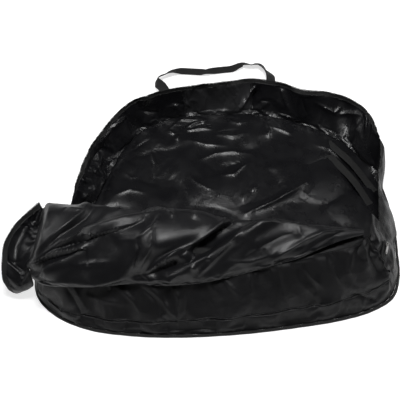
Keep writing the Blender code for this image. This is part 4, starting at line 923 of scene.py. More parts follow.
class Look:
    """A material that is put together from nodes; a colour is one level of grey, or its three parts."""

    def __init__(self, name, colour, roughness, specular=0.5, metallic=0.0):
        LOOKS[name] = bpy.data.materials.new(name)
        LOOKS[name].use_nodes = True
        self.tree = LOOKS[name].node_tree
        self.shader = self.tree.nodes["Principled BSDF"]
        for key, value in (
            ("Base Color", self.colour(colour)), ("Roughness", roughness), ("Specular IOR Level", specular),
            ("Metallic", metallic),
        ):
            self.shader.inputs[key].default_value = value
        places = add_node(self.tree, "ShaderNodeTexCoord")
        self.places, self.measure = places.outputs["Object"], places.outputs["UV"]
        self.relief = None

    def colour(self, value):
        return (*np.broadcast_to(value, 3), 1.0)

    def add(self, kind, inputs, **settings):
        return add_node(self.tree, f"ShaderNode{kind}", inputs, **settings).outputs[0]

    def math(self, operation, *values):
        return self.add("Math", dict(enumerate(values)), operation=operation)

    def noise(self, scale, detail=3.0, kind="FBM", warp=0.0):
        inputs = {"Vector": self.places, "Scale": scale, "Detail": detail, "Distortion": warp}
        return self.add("TexNoise", inputs, noise_type=kind)

    def ramp(self, value, low, high, start, end):
        return self.add("MapRange", {0: value, 1: low, 2: high, 3: start, 4: end}, clamp=True)

    def bump(self, height, distance, strength=1.0):
        inputs = {"Height": height, "Distance": distance, "Strength": strength}
        if self.relief:
            inputs["Normal"] = self.relief
        self.relief = self.add("Bump", inputs)
        self.tree.links.new(self.relief, self.shader.inputs["Normal"])

    def roughen(self, scale, low, high):
        value = self.ramp(self.noise(scale, 4.0), 0.3, 0.7, low, high)
        self.tree.links.new(value, self.shader.inputs["Roughness"])

    def tint(self, factor, dark, light):
        inputs = {"Factor": factor, "A": self.colour(dark), "B": self.colour(light)}
        mixed = add_node(self.tree, "ShaderNodeMix", inputs, data_type="RGBA")
        self.tree.links.new(mixed.outputs["Result"], self.shader.inputs["Base Color"])

    def stripes(self, period, slant=0.0, axis=1):
        """A wave across the cloth's own measure, in metres, from 0 to 1."""
        split = add_node(self.tree, "ShaderNodeSeparateXYZ", {0: self.measure})
        first, second = split.outputs[axis], split.outputs[1 - axis]
        at = self.math("ADD", first, self.math("MULTIPLY", second, slant))
        wave = self.math("SINE", self.math("MULTIPLY", at, 2 * math.pi / period))
        return self.math("MULTIPLY_ADD", wave, 0.5, 0.5)

    def weave(self, period, depth):
        self.bump(self.math("MULTIPLY", self.stripes(period, axis=0), self.stripes(period, axis=1)), depth)

    def crumple(self, scale, distance, strength, patches):
        """Sharp little creases between flat facets; patches are their scale, where they start and peak."""
        inputs = {"Vector": self.places, "Scale": scale * 0.6, "Detail": 2.0}
        drift = add_node(self.tree, "ShaderNodeTexNoise", inputs).outputs["Color"]
        reach = (1.1 / scale, 1.1 / scale, 1.1 / scale)
        moved = self.add("VectorMath", {0: drift, 1: reach, 2: self.places}, operation="MULTIPLY_ADD")
        inputs = {"Vector": moved, "Scale": scale}
        cells = self.add("TexVoronoi", inputs, feature="DISTANCE_TO_EDGE")
        size, start, peak = patches
        where = self.ramp(self.noise(size, 2.0), start, peak, 0.0, 1.0)
        ridge = self.math("MULTIPLY", self.ramp(cells, 0.0, 0.35, 1.0, 0.0), where)
        self.bump(ridge, distance, strength)


def make_looks():
    for name, (colour, roughness, specular, tint, roughen, relief, crumples, weave) in FABRICS.items():
        look = Look(name, colour, roughness, specular)
        look.tint(look.ramp(look.noise(tint[0], 5.0), 0.3, 0.7, 0.0, 1.0), *tint[1:])
        look.roughen(*roughen)
        scale, warp, *height = relief
        look.bump(look.noise(scale, warp=warp), *height)
        for crumple in crumples:
            look.crumple(*crumple)
        look.weave(*weave)
    webbing = Look("webbing", 0.012, 0.75, 0.3)
    webbing.tint(webbing.noise(60.0, 4.0), 0.009, 0.018)
    webbing.bump(webbing.stripes(WEBBING_RIB, slant=0.55, axis=0), 0.0004, 0.7)
    webbing.bump(webbing.stripes(0.0026, axis=1), 0.0003, 0.5)
    tape = Look("zip_tape", 0.016, 0.72, 0.3)
    tape.tint(tape.noise(40.0, 4.0), 0.012, 0.020)
    tape.bump(tape.stripes(0.0013, slant=1.0, axis=0), 0.00018, 0.7)
    teeth = Look("zip_teeth", 0.018, 0.32)
    teeth.roughen(180.0, 0.26, 0.42)
    teeth.bump(teeth.noise(900.0, 2.0), 0.00005, 0.4)
    thread = Look("thread", (0.020, 0.020, 0.021), 0.55)
    thread.bump(thread.noise(2600.0, 1.0), 0.0001, 0.6)
    metal = Look("zip_metal", (0.30, 0.29, 0.28), 0.38, metallic=1.0)
    metal.roughen(420.0, 0.20, 0.42)
    metal.tint(metal.noise(160.0, 5.0), (0.22, 0.215, 0.21), (0.38, 0.375, 0.37))
    metal.bump(metal.noise(700.0, 3.0, kind="RIDGED_MULTIFRACTAL"), 0.00008, 0.3)


make_looks()
OUTSIDE_FIRST = [LOOKS["outer_nylon"], LOOKS["coated_nylon"]]
INSIDE_FIRST = OUTSIDE_FIRST[::-1]
PANEL_LOOKS = [LOOKS["outer_nylon"], LOOKS["panel_nylon"]]
# The lighter copy of the coated nylon paints light onto the rear wall's middle length.
PAINTED_LIGHT_LOOKS = [LOOKS["painted_light_nylon"], LOOKS["outer_nylon"]]


# The standing walls.


def zip_rise(rows, length):
    """Shares of a strip's rise: rows of fabric, three of tape and one of teeth."""
    tape = 1 - (ZIP_TAPE_WIDTH + ZIP_TOOTH_WIDTH) / length
    teeth = 1 - ZIP_TOOTH_WIDTH / length
    return np.concatenate((
        np.linspace(0, 1, rows)[None] * tape[:, None],
        tape[:, None] + (teeth - tape)[:, None] * np.array((1 / 3, 2 / 3, 1.0))[None],
        np.ones((len(length), 1)),
    ), axis=1)


def rear_form():
    """The rear half-gusset's grid up to the rim, with its folds; the last rows are tape, then teeth."""
    along = np.linspace(0, 1, REAR_COLUMNS)
    rise = zip_rise(REAR_ROWS, wall_height(REAR_SHARES, along))
    grid = wall_grid(REAR_SHARES, REAR_BULGE, along, rise)
    u, v = grid_lengths(grid)
    lift = ripples(u, v, "rear")
    anchors = np.ones_like(u)
    for at, _ in REAR_ANCHOR_SHARES:
        beside = ease(np.abs(along - at), *ANCHOR_STILL)[:, None]
        anchors = np.minimum(anchors, np.maximum(beside, ease(ANCHOR_RISE[0] - rise, 0.0, ANCHOR_RISE[1])))
    held = anchors * ease(np.minimum(along, 1 - along), 0.0, 0.02)[:, None]
    lift = np.minimum(lift * ease(rise, 0.0, 0.10) * (1 - 0.75 * ease(rise, 0.80, 1.0)), 0.008) * held
    # The slump over the foot comes in uneven swags.
    swags = ripples(u, v * 0, "slump")
    reach = ease(along, 0.06, 0.05) * ease(0.70 - along, 0.0, 0.06)
    low = np.sin(np.pi * np.clip(rise / SLUMP_RISE, 0, 1))
    lift = lift + SLUMP * np.clip(0.5 + 0.6 * swags, 0, 1.2) * low * reach[:, None]
    return grid + grid_normals(grid) * lift[..., None], held


def base_form():
    """The full-depth gusset's grid with its folds, how free each point is, and the shares of its run."""
    along = np.concatenate((
        np.linspace(0, RIGHT_END_TO, END_COLUMNS)[:-1],
        np.linspace(RIGHT_END_TO, LEFT_END_FROM, BASE_COLUMNS),
        np.linspace(LEFT_END_FROM, 1, END_COLUMNS)[1:],
    ))
    right, left = BOTTOM_SEAM_SHARES
    t = np.clip((along - RIGHT_END_TO) / (LEFT_END_FROM - RIGHT_END_TO), 0, 1)
    seam = (right + (left - right) * t)[:, None]
    rise = np.concatenate((
        seam * np.linspace(0, 1, BASE_LOW_ROWS)[None],
        seam + (1 - seam) * np.linspace(0, 1, BASE_HIGH_ROWS)[None, 1:],
    ), axis=1)
    grid = wall_grid(BASE_SHARES, BASE_BULGE, along, rise)
    u, v = grid_lengths(grid)
    lift = ripples(u, v, "base")
    # The wall keeps its form under the closed stretches of the zip; the left one ends a little earlier.
    held = np.ones_like(u)
    for (start, end, at), less in ((RIGHT_CHAIN_SHARES, 0.0), (LEFT_CHAIN_SHARES, 0.006)):
        low, high = min(start, end) - 0.006 - less, max(start, end) + 0.008 - less
        beside = np.maximum(low - along, along - high)[:, None]
        above = np.abs(rise - at) - CHAIN_RISE_SHARE * 1.15
        held = np.minimum(held, np.maximum(ease(beside, 0.0, 0.02), ease(above, 0.0, 0.08)))
    held = held * ease(np.minimum(along, 1 - along), 0.0, 0.015)[:, None]
    edges = ease(rise, 0.0, 0.10) * ease(1 - rise, 0.0, 0.10)
    return grid + grid_normals(grid) * (lift * edges * held)[..., None], held, along


def flap_form():
    """The turned-over stretch of the front panel with its folds, how free it is, and its run."""
    along, across = np.linspace(0, 1, FLAP_COLUMNS), np.linspace(0, 1, FLAP_ROWS)
    rows = []
    for far_x, near_x, ys, zs in FLAP_SHARES:
        x = np.linspace(far_x, near_x, len(ys))
        row = np.column_stack((x, ys, zs)) * SCALE
        if far_x > FOLD_LEFT[0] / SCALE[0]:
            row[0] = fold_place(row[0, 0])
        rows.append(on_spline(row, across))
    grid = on_spline(np.array(rows), along)
    length = lengths_of(grid[:, FLAP_ROWS // 2])[-1]
    depth = lengths_of(grid[FLAP_COLUMNS // 2])[-1]
    u = np.broadcast_to((along * length)[:, None], grid.shape[:2])
    v = np.broadcast_to((across * depth)[None], grid.shape[:2])
    narrow = np.linalg.norm(grid[:, -1] - grid[:, 0], axis=1)[:, None] / depth
    fade = np.minimum.reduce((u, length - u, v, depth - v)) / FOLD_FADE
    fade = np.clip(fade, 0, 1) * np.minimum(1, narrow * 2) ** 2
    lift = folds(u, v, (length, depth), FLAP_FOLDS)
    lift += ripples(u, v, "flap")
    raised = grid - grid_normals(grid) * (lift * fade)[..., None]
    free = np.broadcast_to(ease(narrow, 0.05, 0.35), u.shape) * ease(v, 0.0, 0.02)
    return raised, free, along


def strip_places(lines, along, rise):
    """Places of a narrow strip: lines are its foot, middle and rim."""
    foot, middle, rim = (on_spline(line, along) for line in lines)
    return np.array([on_spline(row, at) for *row, at in zip(foot, middle, rim, rise)])


def strip_form(lines, start, columns, rows):
    """The grid of a half-gusset strip: fabric, then three rows of tape and one of teeth."""
    along = np.linspace(start, 1, columns)
    steps = strip_places(lines, along, np.tile(np.linspace(0, 1, 7), (columns, 1)))
    length = np.linalg.norm(np.diff(steps, axis=1), axis=2).sum(1)
    return strip_places(lines, along, zip_rise(rows, length))


def hood_lines(flap):
    """Foot, middle and rim of the strip at the left end; its foot follows the flap's left edge."""
    at = np.linspace(0, 1, flap.shape[1])
    lines = []
    for across, middle, rim in HOOD_SHARES:
        here, inner = (at_values(across, at, side) for side in (flap[0], flap[2]))
        lines.append((here + unit(here - inner) * CLEARANCE, place(*middle), place(*rim)))
    lines += [tuple(place(*shares) for shares in row) for row in HOOD_END_SHARES]
    return np.array(lines).swapaxes(0, 1)


def tuck_lines(flap, along):
    """Foot, middle and rim of the strip that lies tucked in under the near edge."""
    at = np.linspace(0, 1, 25)
    where = between([[share] for share, _ in TUCK_SHARES], at)[:, 0]
    edge, under = (at_values(where, along, values) for values in (flap[:, -1], grid_normals(flap)[:, -2]))
    feet = edge + under * (FABRIC + CLEARANCE)
    rims = feet + on_spline([place(*shares) for _, shares in TUCK_SHARES], at)
    return feet, (feet + rims) / 2, rims


def root_form(flap):
    """The stretch of the front panel that stands on the bottom gusset and ends under the fold line."""
    top = on_spline(wall_lines(BASE_SHARES)[1], np.linspace(*ROOT_RUN_SHARES, ROOT_COLUMNS))
    edge = flap[:, 0]
    edge = edge[np.argsort(edge[:, 0])]
    fold = at_values(top[:, 0], edge[:, 0], edge) - UP * (CLOTH + CLEARANCE * 2)
    rise = np.linspace(0, 1, ROOT_ROWS)[None, :, None]
    grid = top[:, None] * (1 - rise) + fold[:, None] * rise
    return grid + UP * (ROOT_RISE_SHARE * SCALE[2]) * 4 * rise * (1 - rise)


def floor_form():
    """The back panel: an even net of triangles inside the feet of the walls."""
    outline = []
    for shares, start, end, count in ((REAR_SHARES, 0.006, 0.994, 230), (BASE_SHARES, 0.004, 0.994, 190)):
        outline.append(on_spline(wall_lines(shares)[0], np.linspace(start, end, count))[:, :2])
    outline = np.concatenate(outline)
    low, high = outline.min(0), outline.max(0)
    step = FLOOR_NET
    ys = np.arange(low[1], high[1], step * math.sqrt(3) / 2)
    inner = []
    for number, y in enumerate(ys):
        xs = np.arange(low[0] + (number % 2) * step / 2, high[0], step)
        inner.append(np.column_stack((xs, np.full(len(xs), y))))
    inner = np.concatenate(inner)
    within = np.zeros(len(inner), bool)
    for a, b in zip(outline, np.roll(outline, -1, axis=0)):
        crossing = (a[1] > inner[:, 1]) != (b[1] > inner[:, 1])
        if a[1] != b[1]:
            at = a[0] + (inner[:, 1] - a[1]) / (b[1] - a[1]) * (b[0] - a[0])
            within ^= crossing & (inner[:, 0] < at)
    points = np.concatenate((outline, inner[within & (nearest(inner, outline) > step * 0.55)]))
    loop = [(i, (i + 1) % len(outline)) for i in range(len(outline))]
    places, _, faces, *_ = delaunay_2d_cdt([Vector(p) for p in points], loop, [], 1, 1e-6)
    places = np.array([tuple(p) for p in places])
    near = nearest(places, outline)
    x, y = places.T
    lift = np.abs(ripples(x, y, "floor"))
    z = CLOTH / 2 + CLEARANCE + lift * ease(near, 0.0, 0.05)
    return np.column_stack((x, y, z)), np.array([tuple(f) for f in faces]), near


def pins(grid, held=1.0, end=1):
    """Which points of a grid stay put: its edges, with or without its far end, and where it is held."""
    pin = np.zeros(grid.shape[:2])
    pin[:, 0] = pin[:, -1] = pin[0] = 1
    pin[-1] = np.maximum(pin[-1], end)
    pin[np.broadcast_to(held, pin.shape) < 0.05] = 1
    return pin


def build_cloth():
    """Every fabric surface, settled and with its sharp folds."""
    rear, rear_held = rear_form()
    base, base_held, base_along = base_form()
    flap, flap_free, flap_along = flap_form()
    hood = strip_form(hood_lines(flap), HOOD_START_SHARE, HOOD_COLUMNS, HOOD_ROWS)
    root = root_form(flap)
    floor, floor_faces, floor_near = floor_form()
    base_pins = pins(base, base_held)
    base_pins[:, BASE_LOW_ROWS - 1] = 0.15
    grids = {
        "rear": (rear, pins(rear, rear_held), rear_held),
        "base": (base, base_pins, base_held),
        "flap": (flap, pins(flap), flap_free),
        "hood": (hood, pins(hood, end=0), np.ones(hood.shape[:2])),
        "root": (root, pins(root), np.ones(root.shape[:2])),
    }
    cloths = {key: (row[0], grid_faces(*row[0].shape[:2]), *row[1:]) for key, row in grids.items()}
    cloths["floor"] = (floor, floor_faces, np.where(floor_near < 0.002, 1.0, 0.0), np.ones(len(floor)))
    settled = settle(cloths)

    fabric = finer(settled["rear"][:, :REAR_ROWS])
    hold = finer_values(rear_held[:, :REAR_ROWS]) * inside(fabric.shape[1], 0.06, 0.15)
    settled["rear_fabric"] = creased(fabric, REAR_CREASES, TALLER["rear"], 1, hold)
    whole = finer(settled["base"])
    hold = finer_values(base_held) * inside(whole.shape[1], 0.10, 0.06)
    settled["base"] = creased(whole, BASE_CREASES, TALLER["base"], -1, hold)
    whole = finer(settled["flap"])
    near = np.linspace(0, 1, whole.shape[1])
    hold = inside(len(whole), 0.02, 0.02)[:, None] * ease(near, 0.015, 0.08) * ease(1 - near, 0, 0.06)
    # Over the front handle the panel only rises.
    path = on_spline(np.array(FRONT_HANDLE_SHARES) * SCALE, np.linspace(0, 1, 40))
    sunk = ease(nearest(whole, path), *HANDLE_CLEAR)
    settled["flap"] = creased(whole, FLAP_CREASES, TALLER["flap"], -1, hold, sunk, FLAP_LAPS)
    hood = finer(settled["hood"][:, :HOOD_ROWS])
    far = np.linspace(0, 1, len(hood))
    hold = (ease(far, 0.0, 0.05) * ease(0.75 - far, 0.0, 0.05))[:, None] * inside(hood.shape[1], 0.1, 0.1)
    settled["hood_fabric"] = creased(hood, HOOD_CREASES, TALLER["hood"], 1, hold)
    net = np.column_stack((settled["floor"], floor_near))
    net, settled["floor_faces"] = split_triangles(net, floor_faces)
    net[:, 2] += creases(net[:, :3], FLOOR_CREASES, TALLER["floor"]) * ease(net[:, 3], 0.0, 0.02)
    net[:, 2] = np.maximum(net[:, 2], CLOTH / 2 + CLEARANCE)
    settled["floor"] = net[:, :3]
    settled["tuck"] = strip_form(tuck_lines(flap, flap_along), 0.0, TUCK_COLUMNS, TUCK_ROWS)
    settled["base_along"] = base_along
    settled["flap_form"] = flap, flap_along
    return settled


def tape_and_coil(label, grid, tape_row, body, end):
    """The half of the zip on a strip's last rows: woven tape, two rows of stitches and the open coil."""
    tape = grid[:, tape_row:-1]
    half = "rear_zip" if label == "rim" else "front_zip"
    sheet(f"{label}_tape", tape, [LOOKS["zip_tape"]], thickness=ZIP_TAPE_RENDERED, body=body,
          nodes=(f"{half}_tape{end}",), slot="zip_tape")
    normals = grid_normals(grid)
    middle = (grid[:, -2] + grid[:, -1]) / 2
    coil(f"{label}_coil", middle, normals[:, -1], COIL_WIDTH, COIL_HEIGHT, body=body,
         nodes=(f"{half}_teeth{end}",))
    gap = ZIP_TAPE_RENDERED / 2 + THREAD * 0.4
    for number, share in enumerate(TAPE_STITCHES):
        path = tape[:, 0] * (1 - share) + tape[:, 1] * share
        both_sides([(f"{label}_stitches_{number}", path, normals[:, tape_row])], gap, body=body)


def felled_seam(name, line, beside, outward, look="outer_nylon", nodes=()):
    """A doubled seam over a line: two welts with a groove between them, and a row of stitches on each."""
    # The groove gapes in some stretches and closes in others.
    u = lengths_of(line)
    gape = np.clip(0.55 + ripples(u, u * 0, "seam"), 0.0, 1.0)[:, None]
    rows = [line + beside * across + outward * (proud if proud > 0 else proud * gape)
            for across, proud in SEAM_SECTION]
    sheet(name, np.stack(rows, axis=1), [LOOKS[look]], thickness=SEAM_CLOTH, nodes=nodes, slot=look)
    for label, across in (("low", -SEAM_STITCHES), ("high", SEAM_STITCHES)):
        stitches(f"{name}_stitches_{label}", line + beside * across + outward * SEAM_STITCH_LIFT, outward)


def rear_wall(grid, fabric):
    """The rear half-gusset in its three lengths, with a seam at each join."""
    along = np.linspace(0, 1, len(fabric))
    first, second = (int(np.searchsorted(along, join)) for join in REAR_JOINS)
    inward = grid_normals(fabric)
    # Both ends are turned in behind the end gussets.
    for end, before in ((0, 1), (-1, -2)):
        fabric[end] += unit(fabric[end] - fabric[before]) * END_TURN + inward[end] * END_TUCK
    lengths = {"left": fabric[:first + 1], "middle": fabric[first:second + 1], "right": fabric[second:]}
    for name, length in lengths.items():
        # The middle length takes the lighter copy of the coated nylon, which paints light onto it.
        looks = PAINTED_LIGHT_LOOKS if name == "middle" else INSIDE_FIRST
        sheet(f"rear_wall_{name}", length, looks, nodes=(f"rear_gusset_{name}",), slot="coated_nylon")
    for label, column in (("left", first), ("right", second)):
        beside = unit(fabric[column + 1] - fabric[column - 1])
        line, within = fabric[column, 1:-1], inward[column, 1:-1]
        felled_seam(f"rear_join_{label}", line, beside[1:-1], within, "coated_nylon")
    tape_and_coil("rim", grid, REAR_ROWS - 1, "bag_body", "")


def base_walls(grid, along):
    """The full-depth gusset in its four pieces, with the felled seam and the seams at both ends."""
    right = 2 * int(np.searchsorted(along, RIGHT_END_TO))
    left = 2 * int(np.searchsorted(along, LEFT_END_FROM))
    low = 2 * (BASE_LOW_ROWS - 1)
    outward = -grid_normals(grid)
    seams = {
        "bottom_seam": (slice(right, left + 1), low, ("bottom_seam_tape",)),
        "end_seam_right": (right, slice(1, -1), ()),
        "end_seam_left": (left, slice(1, -1), ()),
    }
    for name, (columns, rows, nodes) in seams.items():
        if rows == low:
            beside = unit(grid[columns, low + 1] - grid[columns, low - 1])
        else:
            beside = unit(grid[columns + 1, rows] - grid[columns - 1, rows])
        felled_seam(name, grid[columns, rows].copy(), beside, outward[columns, rows], nodes=nodes)
    for columns, rows, _ in seams.values():
        grid[columns, rows] -= outward[columns, rows] * SEAM_SINK
    for name, part in (
        ("bottom_gusset", grid[right:left + 1, low:]),
        ("bottom_strip", grid[right:left + 1, :low + 1]),
        ("right_end_gusset", grid[:right + 1]),
        ("left_end_gusset", grid[left:]),
    ):
        sheet(f"cloth_{name}", part, INSIDE_FIRST, nodes=(name,), slot="outer_nylon")
    # The row of stitches where the front panel is sewn to the gusset's top edge.
    down = unit(grid[:, -2] - grid[:, -1])
    stitches("top_stitches", grid[:, -1] + down * 0.003 + outward[:, -1] * 0.0012, outward[:, -1])


def panel_pieces(grids):
    """The front panel's two stretches, and the strips that hang from it with their zip."""
    flap = dict(body="front_flap")
    sheet("standing_panel", grids["root"], INSIDE_FIRST, nodes=("front_panel_root",), slot="coated_nylon")
    sheet("turned_panel", grids["flap"], PANEL_LOOKS, nodes=("front_panel",), slot="coated_nylon", **flap)
    sheet("shoulder_gusset", grids["hood_fabric"], PANEL_LOOKS, nodes=("front_gusset_left",),
          slot="outer_nylon", **flap)
    grid = grids["hood"]
    tape_and_coil("shoulder", grid, HOOD_ROWS - 1, "front_flap", "_left")
    normals = grid_normals(grid)
    hem = np.s_[HOOD_HEM, :HOOD_ROWS]
    both_sides([
        ("shoulder_seam_", grid[:, 1] * 0.6 + grid[:, 0] * 0.4, normals[:, 1]),
        ("shoulder_hem_", grid[hem], normals[hem]),
    ], CLOTH / 2 + THREAD * 0.4, **flap)
    sheet("tucked_gusset", grids["tuck"][:, :TUCK_ROWS], OUTSIDE_FIRST, nodes=("front_gusset_tucked",),
          slot="outer_nylon", **flap)
    tape_and_coil("tucked", grids["tuck"], TUCK_ROWS - 1, "front_flap", "_tucked")


def floor_piece(places, faces):
    made = piece("floor_panel", places, faces, places[:, :2], INSIDE_FIRST, nodes=("back_panel",),
                 slot="coated_nylon", sharp=None)
    solid = made.modifiers.new("thickness", "SOLIDIFY")
    solid.thickness = CLOTH
    solid.offset = 0
    solid.material_offset = 1


def binding():
    """The bound seam allowance outside the foot of the walls: a folded tape with a row of stitches."""
    path, gaps = [], []
    for shares, bulge, start, end, count in (
        (REAR_SHARES, REAR_BULGE, 0.004, 0.995, 300), (BASE_SHARES, BASE_BULGE, 0.006, 0.993, 240),
    ):
        at = np.linspace(start, end, count)
        feet = wall_lines(shares)[0]
        foot = on_spline(feet, at)
        ahead = on_spline(feet, at + 0.01) - on_spline(feet, at - 0.01)
        out = unit(np.cross(UP, ahead))
        risen = wall_grid(shares, bulge, at, np.array([0.1]))[:, 0]
        lean = ((risen - foot) * out).sum(1) / np.maximum(risen[:, 2], FABRIC)
        chord = FABRIC / 2 if shares is BASE_SHARES else CLEARANCE
        reach = FABRIC / 2 * np.hypot(1, lean) + CLEARANCE + chord
        reach = reach + np.maximum(lean, 0) * BINDING_HEIGHT + BINDING_WIDTH / 2
        gaps.append(FABRIC / 2 * np.hypot(1, lean) + CLEARANCE + chord - CLOTH / 2)
        here = foot + out * reach[:, None]
        here[:, 2] = BINDING_HEIGHT / 2
        path.append(here)
    path, gap = np.concatenate(path), np.concatenate(gaps)
    out = unit(np.cross(UP, np.roll(path, -1, axis=0) - np.roll(path, 1, axis=0)))
    run = np.arange(len(path))
    wide = BINDING_WIDTH / 2 * (0.94 + 0.06 * np.sin(run * 0.9))
    high = BINDING_HEIGHT / 2 * (0.88 + 0.10 * np.sin(run * 0.37 + 1.0))
    angles = np.linspace(0, 2 * math.pi, 10, endpoint=False)
    across, upright = np.cos(angles), np.sin(angles)
    shape = zip(np.sign(across) * np.abs(across) ** 0.6, np.sign(upright) * np.abs(upright) ** 0.7)
    # Its inner side reaches the foot of the wall, which is thinner here than in the solids.
    rings = []
    for c, s in shape:
        reach = (wide + (gap if c < 0 else 0)) * c
        rings.append(path + out * reach[:, None] + UP * (high * s)[:, None])
    rings = np.stack(rings, axis=1)
    rings[:, :, 2] = np.maximum(rings[:, :, 2], CLEARANCE)
    tube("seam_binding", rings, [LOOKS["zip_tape"]], v_at=angles * 0.003, closed=True,
         nodes=("panel_binding",), slot="zip_tape")
    stitches("binding_stitches", path + UP * high[:, None] + out * 0.0012, np.tile(UP, (len(path), 1)))


# Webbing.


def sewn_end(which, label, place_at, body):
    """The end of a handle, sewn flat with a box and a cross of stitches."""
    grid = np.array([[place_at(s, t) for t in np.linspace(0, 1, 9)] for s in np.linspace(-0.5, 0.5, 9)])
    normals = grid_normals(grid)
    outward = grid[4, 4] * (1, 1, 0) if which == "rear" else UP
    if normals[4, 4] @ outward < 0:
        grid = grid[::-1]
        normals = grid_normals(grid)
    flat = grid + normals * (FABRIC / 2 + WEBBING_THICKNESS / 2 + CLEARANCE * 2)
    sheet(f"{which}_handle_sewn_{label}", flat, [LOOKS["webbing"]], thickness=WEBBING_THICKNESS * 0.9,
          body=body, nodes=(f"{which}_handle_end_{label}",), slot="webbing")
    top = flat + normals * (WEBBING_THICKNESS * 0.45 + THREAD * 0.3)
    corners = [(1, 1), (7, 1), (7, 7), (1, 7), (1, 1), (7, 7), (7, 1), (1, 7)]
    path, ups = [], []
    for (a, b), (c, d) in zip(corners, corners[1:]):
        for t in np.linspace(0, 1, 8, endpoint=False):
            i, j = a + (c - a) * t, b + (d - b) * t
            cell = np.s_[int(i):int(i) + 2, int(j):int(j) + 2]
            weights = np.outer((1 - i % 1, i % 1), (1 - j % 1, j % 1))[..., None]
            path.append((top[cell] * weights).sum((0, 1)))
            ups.append((normals[cell] * weights).sum((0, 1)))
    stitches(f"{which}_handle_sewn_{label}_stitches", np.array(path), np.array(ups), body=body)


def crease(at, up, normal):
    """Where a handle leaves its sewn end, which lies upward from there on the cloth."""
    up = unit(up - (up @ normal) * normal)
    lift = FABRIC / 2 + WEBBING_THICKNESS / 2 + CLEARANCE * 2
    return at + normal * lift - up * WEBBING_THICKNESS


def rear_handle():
    run = lengths_of(wall_lines(REAR_SHARES)[0])[-1]
    points, looks, ends = [], [], []
    for label, (along, rise) in zip(("left", "right"), REAR_ANCHOR_SHARES):
        reach = HANDLE_ANCHOR_LENGTH / wall_height(REAR_SHARES, np.array([along]))[0]

        def place_at(side, up):
            beside = along + side * REAR_HANDLE_WIDTH / run
            return wall_place(REAR_SHARES, REAR_BULGE, beside, rise + up * reach)

        sewn_end("rear", label, place_at, "bag_body")
        at, normal = place_at(0, 0), wall_normal(REAR_SHARES, REAR_BULGE, along, rise)
        up = unit(place_at(0, 0.5) - at)
        start = crease(at, up, normal)
        points.append([start, start - up * HANDLE_DROP + normal * HANDLE_LEAVE])
        looks.append([normal, normal])
        ends.append(place_at(0.5, 0) - place_at(-0.5, 0))
    path = points[0] + [place(*p) for p, _ in REAR_HANDLE_SHARES] + points[1][::-1]
    ups = looks[0] + [np.array(u) for _, u in REAR_HANDLE_SHARES] + looks[1]
    at = np.linspace(0, 1, 260)
    strap("rear_handle_webbing", on_spline(path, at), unit(between(ups, at)), REAR_HANDLE_WIDTH, ends,
          body="rear_handle", nodes=("rear_handle",))


def front_handle(flap, flap_along):
    lines = tuck_lines(flap, flap_along)
    run = lengths_of(lines[0])[-1]
    points, ends = [], []
    for label, (along, rise) in zip(("left", "right"), FRONT_ANCHOR_SHARES):

        def place_at(side, up):
            a = np.array([along + side * FRONT_HANDLE_WIDTH / run])
            return strip_places(lines, a, np.array([[rise + up * FRONT_ANCHOR_SHARE]]))[0, 0]

        sewn_end("front", label, place_at, "front_flap")
        normal = unit(np.cross(place_at(0.1, 1) - place_at(0, 1), place_at(0, 1.1) - place_at(0, 1)))
        normal = normal if normal[2] > 0 else -normal
        points.append(crease(place_at(0, 1), unit(place_at(0, 0.9) - place_at(0, 1)), normal))
        ends.append(place_at(0.5, 1) - place_at(-0.5, 1))
    path = [points[0]] + [place(*p) for p in FRONT_HANDLE_SHARES] + [points[1]]
    strap("front_handle_webbing", on_spline(path, np.linspace(0, 1, 160)), np.tile(UP, (160, 1)),
          FRONT_HANDLE_WIDTH, ends, body="front_handle", nodes=("front_handle",))


def inner_straps():
    """The two straps inside the bag, with two rows of stitches at either end of each."""
    for label, ((x0, y0), (x1, y1)) in zip(("upper", "lower"), INNER_STRAP_SHARES):
        start, end = place(x0, y0, 0), place(x1, y1, 0)
        across = unit(np.cross(end - start, UP))

        def on_strap(at):
            rise = FABRIC + WEBBING_THICKNESS / 2 + CLEARANCE + INNER_STRAP_ARCH * np.sin(math.pi * at) ** 2
            return start + (end - start) * at + UP * rise

        at = np.linspace(0, 1, 60)[:, None]
        ups = np.tile(UP, (60, 1)) + across * 0.12 * np.sin(at * 7.0)
        name = f"frame_strap_{label}"
        strap(f"frame_strap_webbing_{label}", on_strap(at), ups, WEBBING_WIDTH, nodes=(name,))
        for tip, t0, t1 in (("near", 0.03, 0.13), ("far", 0.97, 0.87)):
            for number, share in enumerate(STRAP_STITCHES):
                line = on_strap(np.linspace(t0, t1, 9)[:, None])
                line = line + UP * (WEBBING_THICKNESS / 2 + THREAD * 0.2) + across * share * WEBBING_WIDTH
                stitches(f"frame_strap_stitches_{label}_{tip}_{number}", line, np.tile(UP, (9, 1)))


# The closed ends of the zip.


def chain_frame(shares, run_from, run_to, rise):
    """Where a closed stretch of the zip starts on its wall, and which way it runs, spans and faces."""
    a = wall_place(shares, BASE_BULGE, run_from, rise)
    along = unit(wall_place(shares, BASE_BULGE, run_to, rise) - a)
    normal = wall_normal(shares, BASE_BULGE, (run_from + run_to) / 2, rise)
    normal = unit(normal - (normal @ along) * along)
    rises = np.linspace(rise - CHAIN_RISE_SHARE, rise + CHAIN_RISE_SHARE, 3)
    under = wall_grid(shares, BASE_BULGE, np.linspace(run_from, run_to, 13), rises)
    proud = max(0.0, ((under - a) @ normal).max())
    start = a + normal * (proud + FABRIC / 2 + CHAIN_TAPE_THICKNESS / 2 + CLEARANCE)
    return start, along, np.cross(normal, along), normal


